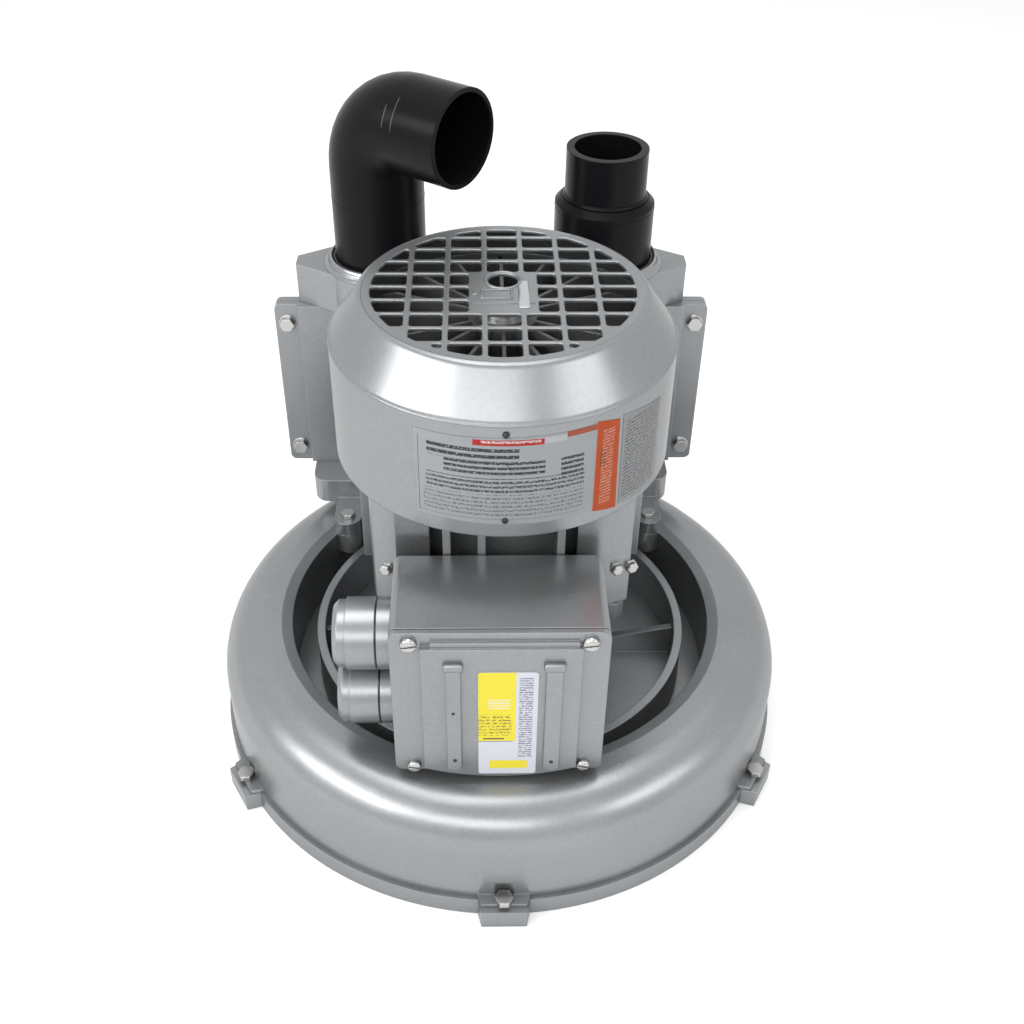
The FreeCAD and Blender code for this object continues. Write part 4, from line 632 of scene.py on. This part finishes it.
hub_relief = bmesh.new()
for low, high in (((-13, -14.5, 352.3), (5.5, -12.9, 353.1)), ((-13, -3.6, 352.3), (5.5, -2.0, 353.1)),
                  ((-14.4, -14.5, 352.3), (-12.6, -2.0, 353.1)), ((4.2, -14.5, 352.3), (6.0, -2.0, 353.1)),
                  ((-19.5, -20.5, 352.3), (19.5, -19.0, 352.9)), ((-19.5, -10, 352.3), (-16, -5, 353.0))):
    rounded_bar(hub_relief, low, high, 0.35)
turn_profile(hub_relief, [(10.0, 352.4), (10.4, 353.2), (11.6, 353.3), (12.4, 352.4)],
             centre=(0, SHAFT_HOLE_SHIFT), steps=40)
finished_piece("hub_relief", hub_relief, silver)
bright = finish_material("bright_metal", (0.5, 0.51, 0.52), 0.9, 0.2, grain=900, height=0.08, corner_shade=0.6)
hub_tab = bmesh.new()
rounded_bar(hub_tab, (9.2, -26, 352.3), (16.0, 9, 353.0), 0.3)
finished_piece("hub_tab", hub_tab, bright)


# Terminal box: a cast box with its own cover, painted with the motor, on a rubber gasket. The
# moulded board with its studs is inside, and slotted cheese heads hold the cover.
black = finish_material("black_plastic", (0.005, 0.005, 0.006), 0.0, 0.3, grain=380, height=0.03,
                        tone=0.4, corner_shade=0.0, gloss=0.1)
dress(silver, "terminal_box", "terminal_box_cover")
dress(rubber, "terminal_box_gasket")
dress(black, "terminal_board")
dress(zinc, "terminal_box_screws", "terminal_studs", "terminal_cover_screws")
LID_FRONT = -166
lid_screws = bmesh.new()
for x, z, radius in ((-57.5, 207, 5.2), (50.5, 207, 5.2), (-57.5, 99.8, 4.4), (50.5, 99.8, 4.4)):
    slotted_head(lid_screws, (x, LID_FRONT, z), (0, -1, 0), radius, 3.4, 1.3)
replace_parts(finished_piece("lid_slotted_screws", lid_screws, zinc), "terminal_cover_screws")


# Ribs of the box cover: the wider cap at the top of each pressed rib, and small dark dots on the ribs that
# stand for pin holes, their darkness painted shade of the holes.
lid_caps = bmesh.new()
rounded_bar(lid_caps, (-37.6, -173.0, 189.0), (-25.4, -168.6, 194.6), 1.6, 4)
rounded_bar(lid_caps, (22.9, -173.0, 188.6), (36.1, -168.6, 194.6), 1.6, 4)
finished_piece("lid_caps", lid_caps, silver)
RIB_FRONT = -172.4
pin_hole_shade_dots = bmesh.new()
for x, z, radius in ((-31.8, 153.7, 1.0), (-31.3, 110.6, 1.3), (29.6, 108.7, 1.3)):
    slotted_head(pin_hole_shade_dots, (x, RIB_FRONT, z), (0, -1, 0), radius, 0.5, 0.3)
finished_piece("pin_hole_shade_dots", pin_hole_shade_dots, dark_steel)


# Sticker on the box cover: pale foil with plain yellow fields and rows of dashes that spell
# nothing, between the ribs.
def millimetres_on_lid(tree, x, y):
    return math_node(tree, "MULTIPLY_ADD", x, 1000.0, 3.5)


YELLOW = (0.66, 0.56, 0.02)
sticker_print = label_material(
    "box_label_print", place_group("place_on_lid", millimetres_on_lid), (0.52, 0.53, 0.58),
    [(YELLOW, -17.0, 10.0, 126.0, 186.5),
     ((0.03, 0.03, 0.03), -10.0, 3.0, 127.4, 128.6),
     ((0.12, 0.12, 0.12), -15.0, 8.5, 125.2, 125.8),
     (YELLOW, -6.0, 18.0, 100.0, 107.5),
     ((0.60, 0.50, 0.03), -16.4, -15.2, 108.0, 126.0)],
    [((0.16, 0.13, 0.015), -13.5, 7.5, 131.0, 150.0, 2.8, 0.5),
     ((0.62, 0.60, 0.42), -7.0, 6.5, 155.0, 164.0, 2.4, 0.62),
     ((0.10, 0.10, 0.16), 12.0, 20.5, 110.0, 182.0, 2.0, 0.55)],
    0.5)
dress(sticker_print, "terminal_box_label")


# Cable plugs: two closed screw plugs in the bosses on the box's left side, painted over, each on a
# black sealing ring.
wet_rubber = finish_material("wet_rubber", (0.01, 0.01, 0.01), 0.0, 0.15, grain=300, height=0.1, corner_shade=0.0)
dress(silver, "cable_plug_lower", "cable_plug_upper")
plug_seals = bmesh.new()
for height in (128, 177):
    seal = bmesh.new()
    turn_profile(seal, [(22.4 + 1.1 * math.cos(math.tau * k / 8), 0.9 * math.sin(math.tau * k / 8))
                        for k in range(8)], steps=48)
    set_in(plug_seals, seal, (-79.7, -125, height), Matrix.Rotation(math.radians(90), 3, "Y"))
finished_piece("plug_seals", plug_seals, wet_rubber)


# Silencer: a painted casting with two chambers lined with grey foam, closed by a cover on a
# gasket. Its tongues are screwed to the ring, and its bolts sit on plated washers.
foam = finish_material("grey_foam", (0.05, 0.05, 0.055), 0.0, 0.95, grain=350, height=1.0, tone=0.8)
dress(silver, "silencer_body", "silencer_cover")
dress(rubber, "silencer_gasket")
dress(foam, "outlet_silencer_foam", "inlet_silencer_foam")
dress(zinc, "silencer_bolts", "silencer_foot_screws")
FLANGE_FRONT = 148
silencer_washers = bmesh.new()
for x in (-162.5, 151.5):
    for z in (131, 245):
        washer = bmesh.new()
        turn_profile(washer, [(0.02, 0), (6.7, 0), (6.9, 0.6), (6.5, 1.2), (0.02, 1.3)], steps=32)
        set_in(silencer_washers, washer, (x, FLANGE_FRONT, z), Matrix.Rotation(math.radians(90), 3, "X"))
finished_piece("silencer_washers", silencer_washers, zinc)


# Collars of the port necks: a flared bright lip round each pipe and the dark sealing ring in it.
OUTLET_NECK = (-88.3, 160)
OUTLET_PIPE = 33.8
INLET_NECK = (77.3, 160)
INLET_PIPE = 36.5
# The lip metal takes strong painted shade in its corners, which darkens the ring round each pipe.
lip_metal = finish_material("lip_metal", (0.3, 0.31, 0.32), 0.85, 0.22, grain=900, height=0.1, corner_shade=0.9)
neck_lips = bmesh.new()
neck_seals = bmesh.new()
for neck, pipe in ((OUTLET_NECK, OUTLET_PIPE), (INLET_NECK, INLET_PIPE)):
    turn_profile(neck_lips, [(pipe + 2.6, 294.0), (pipe + 2.6, 297.4), (pipe + 3.1, 298.4),
                             (pipe + 3.9, 298.7), (pipe + 4.7, 298.1), (pipe + 5.3, 296.4),
                             (pipe + 6.0, 294.6), (pipe + 7.4, 293.2), (pipe + 9.4, 292.2),
                             (pipe + 9.0, 291.4), (pipe + 3.0, 292.0)], centre=neck)
    turn_profile(neck_seals, [(pipe + 1.2 + 1.3 * math.cos(math.tau * k / 10),
                               296.4 + 1.7 * math.sin(math.tau * k / 10)) for k in range(10)], centre=neck)
finished_piece("neck_lips", neck_lips, lip_metal)
finished_piece("neck_seals", neck_seals, wet_rubber)


# Bent outlet pipe and hose spigot: black moulded plastic pushed into the necks. A parting line
# runs round each upright leg, and a bead of glue lies at the foot of the spigot.
dress(black, "outlet_elbow", "inlet_collar", "inlet_spigot")
pipe_lines = bmesh.new()
turn_profile(pipe_lines, [(33.7, 343.9), (34.05, 344.5), (33.7, 345.1)], centre=OUTLET_NECK)
turn_profile(pipe_lines, [(29.5, 343.8), (31.0, 343.9), (31.2, 344.8), (30.2, 345.9), (29.5, 347.0)],
             centre=INLET_NECK)
turn_profile(pipe_lines, [(36.3, 336.2), (36.75, 336.7), (36.3, 337.2)], centre=INLET_NECK)
finished_piece("pipe_lines", pipe_lines, black, sharp=80)


# Weld marks on the outlet leg: two short raised seams of the moulding just past the bend, scuffed
# pale along their ridges.
LEG_HEIGHT = 404
LEG_TURN = math.radians(-37.4)
SEAM_STEPS = 12
scuffed = finish_material("scuffed_plastic", (0.075, 0.075, 0.077), 0.0, 0.35, grain=700, height=0.08,
                          corner_shade=0.0)
weld_marks = bmesh.new()
along = Vector((math.cos(LEG_TURN), math.sin(LEG_TURN), 0))
side = Vector((along.y, -along.x, 0))
for distance, first, last in ((36, 50, 78), (43.5, 37, 81)):
    foot = Vector((*OUTLET_NECK, LEG_HEIGHT)) + along * distance
    before = None
    for k in range(SEAM_STEPS + 1):
        turn = math.radians(first + (last - first) * k / SEAM_STEPS)
        out = side * math.sin(turn) + Vector((0, 0, math.cos(turn)))
        swell = 0.35 * math.sin(math.pi * k / SEAM_STEPS)
        section = [weld_marks.verts.new((foot + out * (OUTLET_PIPE + rise) + along * shift) / 1000)
                   for rise, shift in ((-0.2, -0.5), (swell, 0), (-0.2, 0.5))]
        if before:
            for a in range(2):
                weld_marks.faces.new((before[a], before[a + 1], section[a + 1], section[a]))
        before = section
finished_piece("weld_marks", weld_marks, scuffed, sharp=80)
